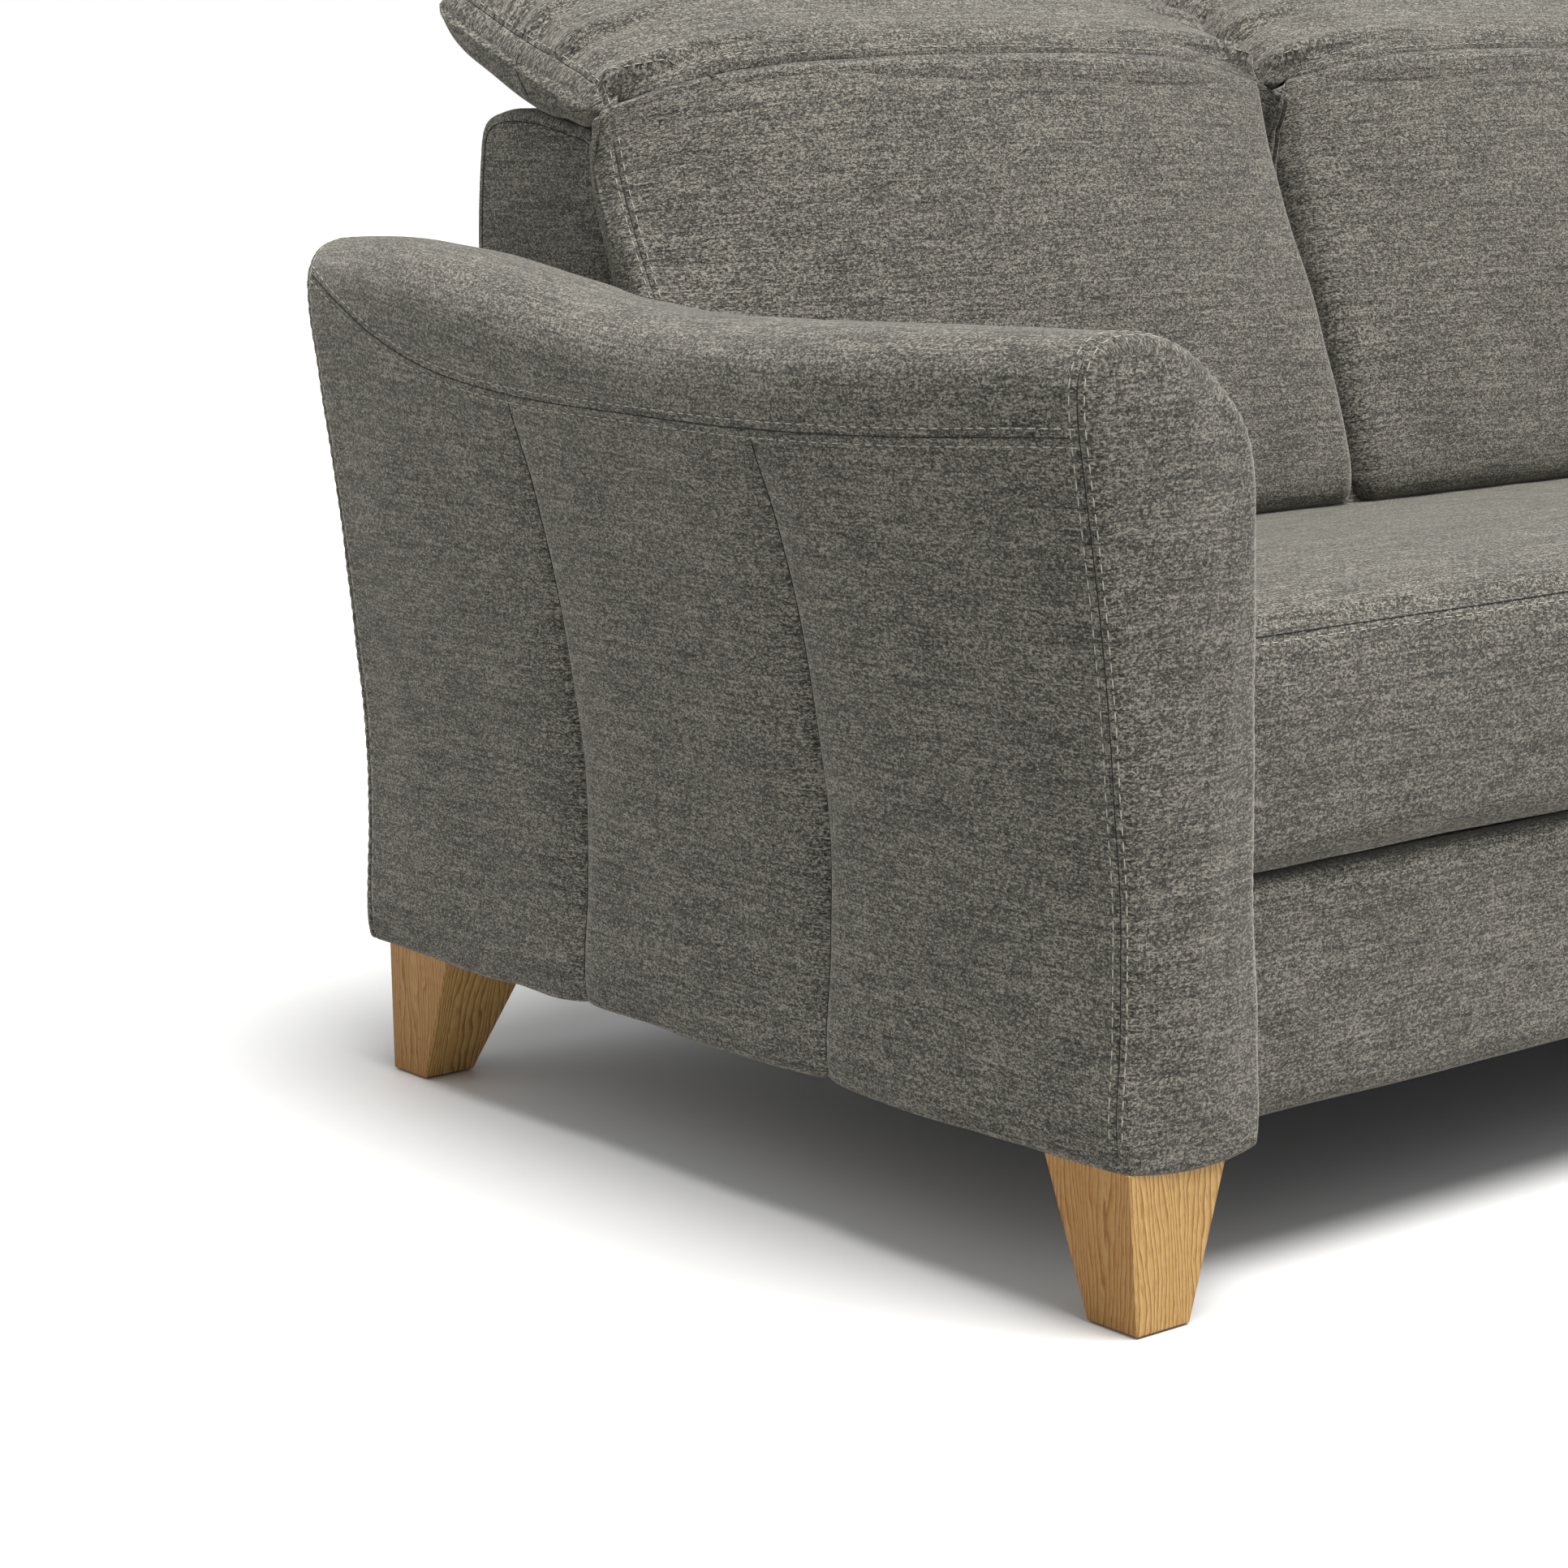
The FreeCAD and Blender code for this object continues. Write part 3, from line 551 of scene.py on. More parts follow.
def arm_spine(ring):
    """Middle line of the arm's end panels."""
    height = np.clip(ring[:, 1], FABRIC_BOTTOM + 0.05, ring[:, 1].max() - 0.062)
    lean = smooth_interp(height, (0.118, 0.35, 0.50, 0.60), (0.0, 0.0, -0.008, -0.020))
    return np.stack([-ARM_INNER - 0.057 + lean, height], axis=1)


def make_arm_cover():
    settings = covers()
    counts = ring_counts(arm_outline(0.0), settings.mesh_step)
    fine = [(y, 0.008, 0.0014) for y in ARM_PULLS]
    arm = Cover("y", lambda y: spline_ring(arm_outline(y), counts), ARM_FRONT + 0.006, ARM_REAR - 0.006,
                arm_spine, (settings.edge_round, settings.edge_round), (0.006, 0.006), fine, 10,
                soft=lambda ring: 0.3 + 0.7 * step_up(ring[:, 1], 0.12, 0.19))
    x, y, z = arm.points[..., 0], arm.points[..., 1], arm.points[..., 2]
    seam_z = smooth_interp(y, *ARM_LONG_SEAM)
    outer = step_up(-x, 0.80, 0.83)
    under = step_up(seam_z - z, -0.004, 0.07) * outer
    panel = step_up(y, ARM_FRONT + 0.02, ARM_FRONT + 0.10) * step_up(-y, -ARM_REAR + 0.02, -ARM_REAR + 0.10)
    belly = np.exp(-((z - 0.32) / 0.17) ** 2)
    push = 0.0035 * belly * outer * panel
    calm = np.ones_like(z)
    for pull in ARM_PULLS:
        away = np.abs(y - pull)
        strength = under * (0.25 + 0.75 * belly)
        push -= settings.pull_depth * np.exp(-away / settings.pull_width) * strength
        push -= 0.0045 * np.exp(-away / 0.0035) * strength
        calm *= 1 - np.exp(-(away / 0.02) ** 2)
    for seam in (arm.first_seam, arm.last_seam):
        push += groove(arm.seam_distance(seam), settings.seam_depth, settings.seam_width)
    girth = arm.girth[:, :-1]
    push += (waves(girth, y, (1.0, 0.085, 3)) + waves(girth + 2.0, y, (0.5, 0.034, 4))) * calm
    hem = np.exp(-((z - FABRIC_BOTTOM) / 0.02) ** 2)
    push += 0.0022 * hem * soft_noise(y, x, 0.055, 5)
    arm.push(push)
    return arm


def outer_columns(arm, row, heights):
    """Fractional columns of the arm's outer face at given heights on a row."""
    ring = arm.points[row]
    top = int(np.argmax(ring[:, 2]))
    start = HEM_POINTS
    return np.interp(heights, ring[start:top, 2], np.arange(start, top))


def arm_threads(arm):
    """Twin rows beside the front and rear seams and along the outer side, and the dark lines of painted shade in
    the creases between.
    """
    settings = covers()
    count = arm.points.shape[1]
    foot = outer_columns(arm, arm.first_seam, [FABRIC_BOTTOM + 0.010])[0]
    columns = np.arange(foot, count - HEM_POINTS, 0.5)
    rows, creases = [], []
    for seam in (arm.first_seam, arm.last_seam):
        for side in (-1, 1):
            rows.append(arm.at(arm.row_beside(seam, side * settings.twin_spacing, columns), columns))
        creases.append(arm.at(arm.row_beside(seam, 0.0, columns), columns))
    body = np.arange(arm.first_seam, arm.last_seam + 1)
    for offset in (-settings.twin_spacing, 0.0, settings.twin_spacing):
        heights = smooth_interp(arm.points[body, 0, 1], *ARM_LONG_SEAM) + offset
        cols = [outer_columns(arm, row, [height])[0] for row, height in zip(body, heights)]
        path = arm.at(body.astype(float), np.array(cols))
        (rows if offset else creases).append(path)
    for pull in ARM_PULLS:
        row = int(np.argmin(np.abs(arm.points[:, 0, 1] - pull)))
        top = float(smooth_interp(pull, *ARM_LONG_SEAM)) - 0.003
        cols = outer_columns(arm, row, np.linspace(FABRIC_BOTTOM + 0.012, top, 90))
        creases.append(arm.at(np.full(len(cols), float(row)), cols))
    return rows, creases


# ---- seat, apron and back --------------------------------------------------------------------------
def straight_cover(outline, x_low, x_high, spine, edge, bulge, rows=6):
    """Cover with the same outline all along the sofa's width."""
    step = covers().mesh_step
    ring = spline_ring(outline, ring_counts(outline, step))
    return Cover("x", lambda x: ring, x_low, x_high, spine, (edge, edge), (bulge, bulge), (), rows,
                 step * 1.4)


SEAT_SEAM = (-0.4440, 0.4540)       # y and z of the seam along the seat's front edge
SEAT_ROW = -0.005                   # from that seam down to its row of stitches
BACK_CREASE, BACK_ROW = 0.013, 0.010        # from the back's seams out over its rounded ends


def seat_seam(seat):
    """Column of the seam along the seat's front edge."""
    ring = seat.points[len(seat.points) // 2]
    return int(np.argmin(np.hypot(ring[:, 1] - SEAT_SEAM[0], ring[:, 2] - SEAT_SEAM[1])))


def make_seat_cover():
    low, high = SEAT
    front = low.y - 0.003
    outline = [(high.y, low.z + 0.004), (0.0, low.z + 0.001), (front + 0.03, low.z + 0.001),
               (front + 0.012, low.z + 0.004), (front + 0.004, low.z + 0.014),
               (front, low.z + 0.050), (front - 0.0022, low.z + 0.095), (front + 0.0005, low.z + 0.140),
               (front + 0.006, 0.4475), (front + 0.016, 0.4580), (front + 0.036, 0.4650),
               (front + 0.080, 0.4700), (front + 0.160, 0.4705), (front + 0.300, 0.4620),
               (front + 0.440, 0.4480), (0.127, 0.4315), (0.190, 0.4280), (high.y, 0.420)]
    seat = straight_cover(outline, low.x, high.x, spine_between((-0.39, 0.37), (0.15, 0.36)), 0.016,
                          0.002)
    girth = seat.girth[:, :-1]
    seam = girth - girth[:, [seat_seam(seat)]]
    push = groove(seam, 0.0026, 0.0022) + 0.0016 * np.exp(-((seam - 0.0055) / 0.0030) ** 2)
    push += waves(seat.points[..., 0], girth, (1.3, 0.13, 11), (0.5, 0.04, 12))
    seat.push(push)
    return seat


def make_apron_cover():
    low, high = APRON
    front = low.y
    outline = [(high.y, low.z + 0.004), (high.y - 0.004, low.z), (front + 0.007, low.z),
               (front + 0.002, low.z + 0.003), (front, low.z + 0.010), (front - 0.0015, low.z + 0.06),
               (front - 0.0010, low.z + 0.12), (front + 0.002, high.z - 0.004),
               (high.y - 0.001, high.z), (high.y, high.z - 0.03)]
    middle = (front + high.y) / 2
    spine = spine_between((middle, low.z + 0.01), (middle, high.z - 0.01))
    apron = straight_cover(outline, low.x, high.x, spine, 0.004, 0.0)
    apron.push(waves(apron.points[..., 0], apron.girth[:, :-1], (1.0, 0.11, 21)))
    return apron


def make_back_cover():
    low, high = BACK
    side = high.x - 0.001
    outline = [(high.y, low.z + 0.006), (high.y, low.z + 0.10), (high.y + 0.001, 0.45),
               (high.y, high.z - 0.030), (high.y - 0.0085, high.z - 0.0085), (high.y - 0.030, high.z),
               (0.345, high.z), (0.300, high.z - 0.0085), (0.268, high.z - 0.017),
               (0.2605, high.z - 0.027), (0.252, 0.722), (0.228, 0.668), (0.204, 0.621), (0.165, 0.530),
               (0.142, 0.440), (0.150, 0.300), (0.152, low.z + 0.004), (0.156, low.z),
               (high.y - 0.006, low.z)]
    back = straight_cover(outline, -side, side, spine_between((0.30, 0.17), (0.335, 0.72)), 0.007, 0.001,
                          rows=9)
    push = sum(groove(back.seam_distance(seam), 0.002, 0.0018)
               for seam in (back.first_seam, back.last_seam))
    push += waves(back.points[..., 0], back.girth[:, :-1], (1.0, 0.12, 31))
    back.push(push)
    return back


# ---- back cushions and headrests -------------------------------------------------------------------
FOLD_RADIUS = 0.070
CENTRE_SEAM = math.radians(152.7)
END_SEAM = math.radians(193.5)
END_RADIUS = 0.0386
INCLINE = math.radians(27.0)
TRAVEL = math.radians(frame["joints"][0]["range_deg"][1])


def polar(radius, angle):
    """Point round the headrest's pivot, as (y, z)."""
    return (PIVOT.y + radius * math.cos(angle), PIVOT.z + radius * math.sin(angle))


def pad(u, v):
    """Point of the headrest from millimetres along and square to its incline, as (y, z)."""
    c, s = math.cos(INCLINE), math.sin(INCLINE)
    return (PIVOT.y + (u * c - v * s) * MM, PIVOT.z + (u * s + v * c) * MM)


def cushion_centre():
    seam = CENTRE_SEAM
    return [(0.212, 0.450), (0.209, 0.434), (0.170, 0.4315), (0.137, 0.4315), (0.1215, 0.4400),
            (0.1180, 0.460), (0.1225, 0.500), (0.1330, 0.555), (0.1490, 0.620), (0.1700, 0.690),
            (0.1935, 0.755), (0.2140, 0.802), polar(FOLD_RADIUS, seam), polar(0.071, seam + 0.12),
            polar(0.0712, seam + 0.40), polar(0.0712, seam + 0.80), polar(0.076, seam + 1.1),
            (0.2530, 0.715), (0.2440, 0.650), (0.2270, 0.550)]


def cushion_end():
    return [(0.1720, 0.450), (0.1650, 0.436), (0.1560, 0.433), (0.1440, 0.433), (0.1350, 0.4385),
            (0.1330, 0.452), (0.1400, 0.482), (0.1580, 0.540), (0.1870, 0.623), (0.2180, 0.682),
            (0.2410, 0.736), (0.2490, 0.768), polar(END_RADIUS, END_SEAM),
            polar(END_RADIUS, END_SEAM + 0.15), polar(0.039, END_SEAM + 0.45),
            polar(0.040, END_SEAM + 0.75), polar(0.048, END_SEAM + 0.85), (0.2640, 0.725),
            (0.2440, 0.672), (0.2060, 0.572)]


def headrest_centre():
    end = CENTRE_SEAM - TRAVEL
    mid = (CENTRE_SEAM + end) / 2
    return [pad(4, -18), pad(-13, -13), pad(-18, 4), pad(-28, 32), polar(FOLD_RADIUS * 0.985, CENTRE_SEAM),
            polar(FOLD_RADIUS, CENTRE_SEAM - 0.10), polar(FOLD_RADIUS, mid), polar(FOLD_RADIUS, end),
            pad(58, 68), pad(105, 64), pad(148, 55), pad(180, 42), pad(201, 22), pad(207, 4),
            pad(200, -13), pad(182, -24), pad(148, -32), pad(105, -35), pad(60, -31), pad(25, -22)]


def headrest_near():
    """Section a hand's breadth inside the gusset, where the pad has started to swell."""
    return [pad(2, -15), pad(-12, -13), pad(-24, -8), pad(-35, 0), pad(-37.5, 9), pad(-30, 18),
            pad(-6, 25), pad(22, 27), pad(46, 25), pad(90, 21), pad(140, 17), pad(176, 11), pad(198, 3),
            pad(205, -6), pad(200, -17), pad(184, -26), pad(152, -33), pad(105, -35), pad(56, -29),
            pad(22, -21)]


def headrest_end():
    """Outline of the headrest's gusset."""
    return [pad(0, -15), pad(-12, -13), pad(-27, -9), pad(-36, -1), pad(-37.5, 9), pad(-31, 14.5),
            pad(-8, 17.5), pad(20, 15), pad(46, 10), pad(86, 4), pad(129, 0.5), pad(172, -2),
            pad(193, -3.5), pad(200, -9), pad(196, -18), pad(186, -26), pad(162, -33), pad(107, -32),
            pad(52, -28), pad(20, -22)]


CUSHION_LOW = CUSHION[0].x + 0.003
CUSHION_HIGH = CUSHION[1].x - 0.002
CUSHION_MIDDLE = (CUSHION_LOW + CUSHION_HIGH) / 2
CUSHION_HALF = (CUSHION_HIGH - CUSHION_LOW) / 2

CUSHION_ROW = 0.8       # distance of the cushions' stitch rows from their seam, in twin needle spacings
INNER_FOOT, INNER_FACE = 0.50, 0.28     # least fullness at the inner ends, so that two cushions meet


def crown(x, power):
    """Fullness of a cushion: 0 at its ends, 1 in the middle; flatter for a higher power."""
    return 1 - np.abs((x - CUSHION_MIDDLE) / CUSHION_HALF) ** power


def make_back_cushion():
    step = covers().mesh_step * 0.75
    counts = ring_counts(cushion_centre(), step)
    end, centre = (spline_ring(c, counts) for c in (cushion_end(), cushion_centre()))
    face = step_up(end[:, 1], 0.43, 0.62)[:, None]

    def section(x):
        inner = x > CUSHION_MIDDLE
        low, high = float(crown(x, 2.6)), float(crown(x, 3.4))
        if inner:
            low, high = INNER_FOOT + (1 - INNER_FOOT) * low, INNER_FACE + (1 - INNER_FACE) * high
        return end + (centre - end) * (low * (1 - face) + high * face)

    fine = [(CUSHION_LOW + 0.02, 0.02, 0.005), (CUSHION_HIGH - 0.03, 0.03, 0.005)]
    cushion = Cover("x", section, CUSHION_LOW, CUSHION_HIGH, spine_between((0.150, 0.445), (0.254, 0.745)),
                    (0.008, 0.022), (0.002, 0.0), fine, 7, step * 1.5, seam_in=0.003)
    p = cushion.points
    push = groove(cushion.seam_distance(cushion.first_seam), 0.0018, 0.0018)
    front = step_up(-p[..., 1], -0.27, -0.24)
    push += waves(p[..., 0], cushion.girth[:, :-1], (2.2, 0.16, 41), (0.7, 0.05, 42)) * front
    cushion.push(push)
    return cushion


def dart_path(rest):
    """Curved dart across the headrest's gusset, laid on the skin between its nearest points."""
    depth = np.linspace(0.0, 1.0, 14)
    spots = np.array([pad(u, v) for u, v in zip(80 - 40 * depth ** 1.5, 4 - 31 * depth)])
    end = rest.points[:rest.first_seam].reshape(-1, 3)
    facing = rest.normals[:rest.first_seam].reshape(-1, 3)
    points, normals = [], []
    for y, z in spots:
        away = np.hypot(end[:, 1] - y, end[:, 2] - z)
        near = np.argsort(away)[:5]
        weight = 1 / (away[near] + 1e-5)
        weight = weight / weight.sum()
        points.append((weight @ end[near, 0], y, z))
        normals.append(weight @ facing[near])
    return np.array(points), np.array(normals)


def fold_columns(rest):
    """Column of every row that lies a needle's width above the fold seam."""
    found = []
    for ring in rest.points:
        turn = np.unwrap(np.arctan2(ring[:, 2] - PIVOT.z, ring[:, 1] - PIVOT.y) % (2 * math.pi))
        seam = int(np.argmin(np.abs(turn - CENTRE_SEAM) + 9 * (np.arange(len(ring)) > len(ring) // 2)))
        found.append(seam + 1.0)
    return np.array(found)


PLEATS = (  # place along the headrest, drift inwards, width, height, length, in metres
    (-0.020, 0.07, 0.0080, 0.0100, 0.10),
    (0.042, 0.16, 0.0090, 0.0066, 0.10),
    (0.086, 0.40, 0.0080, 0.0052, 0.07),
    (0.114, 0.55, 0.0080, 0.0046, 0.06),
    (0.150, 0.50, 0.0090, 0.0034, 0.06),
)


def make_headrest():
    step = covers().mesh_step * 0.72
    counts = ring_counts(headrest_centre(), step)
    end, near, centre = (spline_ring(c, counts) for c in
                         (headrest_end(), headrest_near(), headrest_centre()))

    def section(x):
        inside = CUSHION_HALF - abs(x - CUSHION_MIDDLE)
        start = float(step_up(inside, 0.0, 0.030))
        swell = crown(x, power)[:, None]
        if x > CUSHION_MIDDLE:
            swell = INNER_FACE + (1 - INNER_FACE) * swell
        return end + (near - end) * start + (centre - near) * swell

    power = 3.4 + 1.8 * step_up(centre[:, 0], 0.36, 0.45)
    fine = [(CUSHION_LOW + 0.06, 0.06, 0.0045), (CUSHION_HIGH - 0.06, 0.06, 0.0045)]
    rest = Cover("x", section, CUSHION_LOW, CUSHION_HIGH, spine_between(pad(-8, -1), pad(176, -16)),
                 (0.008, 0.014), (0.004, 0.0), fine, 7, step * 1.5, seam_in=0.001)
    p = rest.points
    c, s = math.cos(INCLINE), math.sin(INCLINE)
    u = (p[..., 1] - PIVOT.y) * c + (p[..., 2] - PIVOT.z) * s
    v = -(p[..., 1] - PIVOT.y) * s + (p[..., 2] - PIVOT.z) * c
    face = step_up(v, 0.004, 0.016)
    push = groove(rest.seam_distance(rest.first_seam), 0.0018, 0.0016)
    inside = CUSHION_HALF - np.abs(p[..., 0] - CUSHION_MIDDLE)
    for place, slope, width, height, reach_in in PLEATS:
        reach = np.exp(-(inside / reach_in) ** 2) * step_up(inside, 0.003, 0.018) * face
        ridge = u - place - slope * inside
        push += height * np.exp(-(ridge / width) ** 2) * reach
        push -= height * 0.8 * np.exp(-((ridge + width * 1.7) / width) ** 2) * reach
    push += waves(p[..., 0], rest.girth[:, :-1], (1.6, 0.12, 51), (0.7, 0.045, 52))
    rest.push(push)
    return rest


def gusset_rows(cover, offsets, columns):
    """Paths at distances from the seam of a cushion's outer gusset, over part of the outline."""
    return [cover.at(cover.row_beside(cover.first_seam, offset, columns), columns) for offset in offsets]


def column_run(cover, wanted):
    """Columns of the first unbroken stretch of the outline that satisfies a test."""
    ring = cover.points[len(cover.points) // 2]
    flags = [bool(wanted(y, z)) for _, y, z in ring]
    first = next(i for i in range(len(flags)) if flags[i] and not flags[i - 1])
    count = 0
    while flags[(first + count) % len(flags)]:
        count += 1
    return np.arange(first, first + count - 1, 0.5)


# ---- legs ------------------------------------------------------------------------------------------
SOLE = 0.0018           # how far the wood goes down into its felt glide
SPIGOT = 0.003          # how far the wood goes up into the cover of the arm
HEM_CLEAR = 0.008       # least distance of a leg's top from the arm's front and rear faces
STAVE = 0.8             # UV from one leg's staves to the next; its second half holds the leg's sides, which the oak paints darker as painted shade
# UV offset of the legs' sides, which the oak material paints darker: painted shade
SHADED_SIDE_OFFSET = 0.4


def corners_at(corners, level):
    """Corners of a leg that lie at a height."""
    return [c for c in corners if abs(c.z - level) < 1e-4]


def lay_grain(bm, corners, low, high):
    """UV in metres on a leg's faces: across from its outer arris, and up; sides on a band of their own, which the
    oak material darkens as painted shade.
    """
    ends = [max(corners_at(corners, level), key=lambda c: abs(c.x) + c.y * math.copysign(1, low.y))
            for level in (low.z, high.z)]
    grain = bm.loops.layers.uv.new("grain")
    for face in bm.faces:
        face.smooth = True
        sideways = abs(face.normal.x) > abs(face.normal.y)
        level = abs(face.normal.z) > 0.9
        stave_and_side_shade = SHADED_SIDE_OFFSET * sideways + STAVE * (low.x > 0) + 2 * STAVE * (low.y > 0)
        for loop in face.loops:
            co = loop.vert.co
            arris = ends[0].lerp(ends[1], (co.z - low.z) / (high.z - low.z))
            across = co.y - arris.y if sideways else co.x - arris.x
            loop[grain].uv = (co.x + stave_and_side_shade, co.y) if level else (across + stave_and_side_shade, co.z)


def make_leg(node, name):
    """Tapered oak leg with softened arrises, on the corners of the turned frame piece."""
    corners = [v.co.copy() for v in NODES[node].data.vertices]
    low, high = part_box(node)
    bm = bmesh.new()
    bmesh.ops.create_cube(bm, size=1.0)
    for vert in bm.verts:
        side = vert.co.copy()
        ends = []
        for level in (low.z, high.z):
            ring = corners_at(corners, level)
            middle = sum(ring, Vector()) / len(ring)
            ends.append(max(ring, key=lambda c: (c.x - middle.x) * side.x + (c.y - middle.y) * side.y))
        level = low.z - SOLE if side.z < 0 else high.z + SPIGOT
        vert.co = ends[0].lerp(ends[1], (level - low.z) / (high.z - low.z))
        if side.z > 0:
            vert.co.y = min(max(vert.co.y, ARM_FRONT + HEM_CLEAR), ARM_REAR - HEM_CLEAR)
    bmesh.ops.bevel(bm, geom=bm.edges[:], offset=0.0016, segments=3, profile=0.5, affect="EDGES",
                    material=-1)
    bmesh.ops.recalc_face_normals(bm, faces=bm.faces)
    lay_grain(bm, corners, low, high)
    mesh = bpy.data.meshes.new(name)
    bm.to_mesh(mesh)
    bm.free()
    obj = place_object(name, mesh)
    modifier = obj.modifiers.new("Flat faces", "WEIGHTED_NORMAL")
    modifier.keep_sharp = True
    dress(obj, "oak_oiled")
    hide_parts(node)
    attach(obj, BASE)


# ---- materials -------------------------------------------------------------------------------------
SIDE_SHADE_SHARE = 0.48            # share of brown painted on the legs' sides as painted shade


def add(tree, kind, inputs=None, output=0, stops=(), **settings):
    """Shader node with its settings, values, links and colour stops; gives one of its outputs."""
    node = tree.nodes.new("ShaderNode" + kind)
    for key, value in settings.items():
        setattr(node, key, value)
    for key, value in (inputs or {}).items():
        if isinstance(value, bpy.types.NodeSocket):
            tree.links.new(value, node.inputs[key])
        else:
            node.inputs[key].default_value = value
    if stops:
        elements = node.color_ramp.elements
        while len(elements) < len(stops):
            elements.new(0.5)
        for element, (place, rgba) in zip(elements, stops):
            element.position = place
            element.color = rgba
    return node.outputs[output] if node.outputs else None


def new_material(name):
    """Empty node tree of a new material."""
    material = bpy.data.materials.new(name)
    material.use_nodes = True
    material.node_tree.nodes.clear()
    return material.node_tree


def surface(tree, inputs):
    """The material's one shader, and the output that it feeds."""
    add(tree, "OutputMaterial", {"Surface": add(tree, "BsdfPrincipled", inputs)})


def scaled(tree, vector, scale, turn=0.0):
    """Pattern space turned in the cloth's plane and divided by real sizes in metres."""
    turned = add(tree, "Mapping", {"Vector": vector, "Rotation": (0, 0, turn)})
    return add(tree, "Mapping", {"Vector": turned, "Scale": tuple(1.0 / s for s in scale)})


def yarn_tones(tree, vector):
    """One random tone for every stretch of yarn on show."""
    made = add(tree, "TexVoronoi", {"Vector": vector, "Scale": 1.0, "Randomness": 0.85}, "Color")
    return add(tree, "SeparateColor", {0: made})


def darker(rgba, share):
    return [c * share for c in rgba[:3]] + [1]


def grey(value):
    return (value, value, value, 1)


def chenille_weave():
    """Melange chenille, woven: bright flecks of pile on the slant over dark ground yarn, with
    slubs along the weft. Matt, with the soft pale rim that short pile gives at grazing angles."""
    fabric = bpy.context.scene.sofa_fabric
    tree = new_material("chenille_weave")
    cloth = add(tree, "UVMap", uv_map="cloth")
    weft = yarn_tones(tree, scaled(tree, cloth, (fabric.fleck_length, fabric.fleck_width, 1.0)))
    warp = yarn_tones(tree, scaled(tree, cloth, (fabric.fleck_width, fabric.fleck_length * 0.8, 1.0),
                                   math.radians(38)))
    value = add(tree, "Math", {0: weft, 1: 0.28}, operation="MULTIPLY")
    value = add(tree, "Math", {0: value, 1: add(tree, "Math", {0: warp, 1: 0.15}, operation="MULTIPLY")},
                operation="ADD")
    for size, detail, rough, weight in (
            ((fabric.slub_length, fabric.slub_width, 1.0), 2.0, 0.6, 0.32),     # slubs
            ((0.12, 0.007, 1.0), 2.0, 0.6, 0.18),                               # bands along the weft
            ((0.060, 0.040, 1.0), 1.0, 0.5, 0.07)):                             # clouds of worn pile
        part = add(tree, "TexNoise", {"Vector": scaled(tree, cloth, size), "Scale": 1.0, "Detail": detail,
                                      "Roughness": rough})
        part = add(tree, "Math", {0: part, 1: weight}, operation="MULTIPLY")
        value = add(tree, "Math", {0: value, 1: part}, operation="ADD")
    shade = add(tree, "ValToRGB", {"Fac": value}, stops=(
        (0.33, hex_to_linear(fabric.dark)), (0.50, hex_to_linear(fabric.middle)),
        (0.67, hex_to_linear(fabric.light))))
    height = add(tree, "Math", {0: warp, 1: 0.6}, operation="MULTIPLY")
    height = add(tree, "Math", {0: weft, 1: height}, operation="ADD")
    normal = add(tree, "Bump", {"Height": height, "Strength": 0.30, "Distance": 0.0006})
    surface(tree, {"Base Color": shade, "Normal": normal, "Roughness": 0.92, "Specular IOR Level": 0.18,
                   "Sheen Weight": 0.50, "Sheen Roughness": 0.45, "Sheen Tint": hex_to_linear("e8e4da")})


def speckled(tree, scale, detail, dark, light):
    """Two tones in fine speckles, for a sewing thread and for the lines of painted shade; scale is the speckles'
    number to a metre.
    """
    place = add(tree, "TexCoord", output="Object")
    grain = add(tree, "TexNoise", {"Vector": place, "Scale": scale, "Detail": detail})
    return add(tree, "Mix", {"Factor": grain, 6: dark, 7: light}, 2, data_type="RGBA")


def seam_crease():
    """Painted shade of the crease deep in a flat seam: a nearly black, matt line laid along it."""
    tree = new_material("seam_crease")
    shade = speckled(tree, 900.0, 2.0, hex_to_linear("1d1c1a"), hex_to_linear("34332f"))
    surface(tree, {"Base Color": shade, "Roughness": 0.95})


def stitch_thread():
    """Twisted polyester sewing thread: pale taupe, slightly glossy."""
    tree = new_material("stitch_thread")
    thread = hex_to_linear(bpy.context.scene.sofa_fabric.thread)
    shade = speckled(tree, 2600.0, 1.0, darker(thread, 0.72), thread)
    surface(tree, {"Base Color": shade, "Roughness": 0.6})


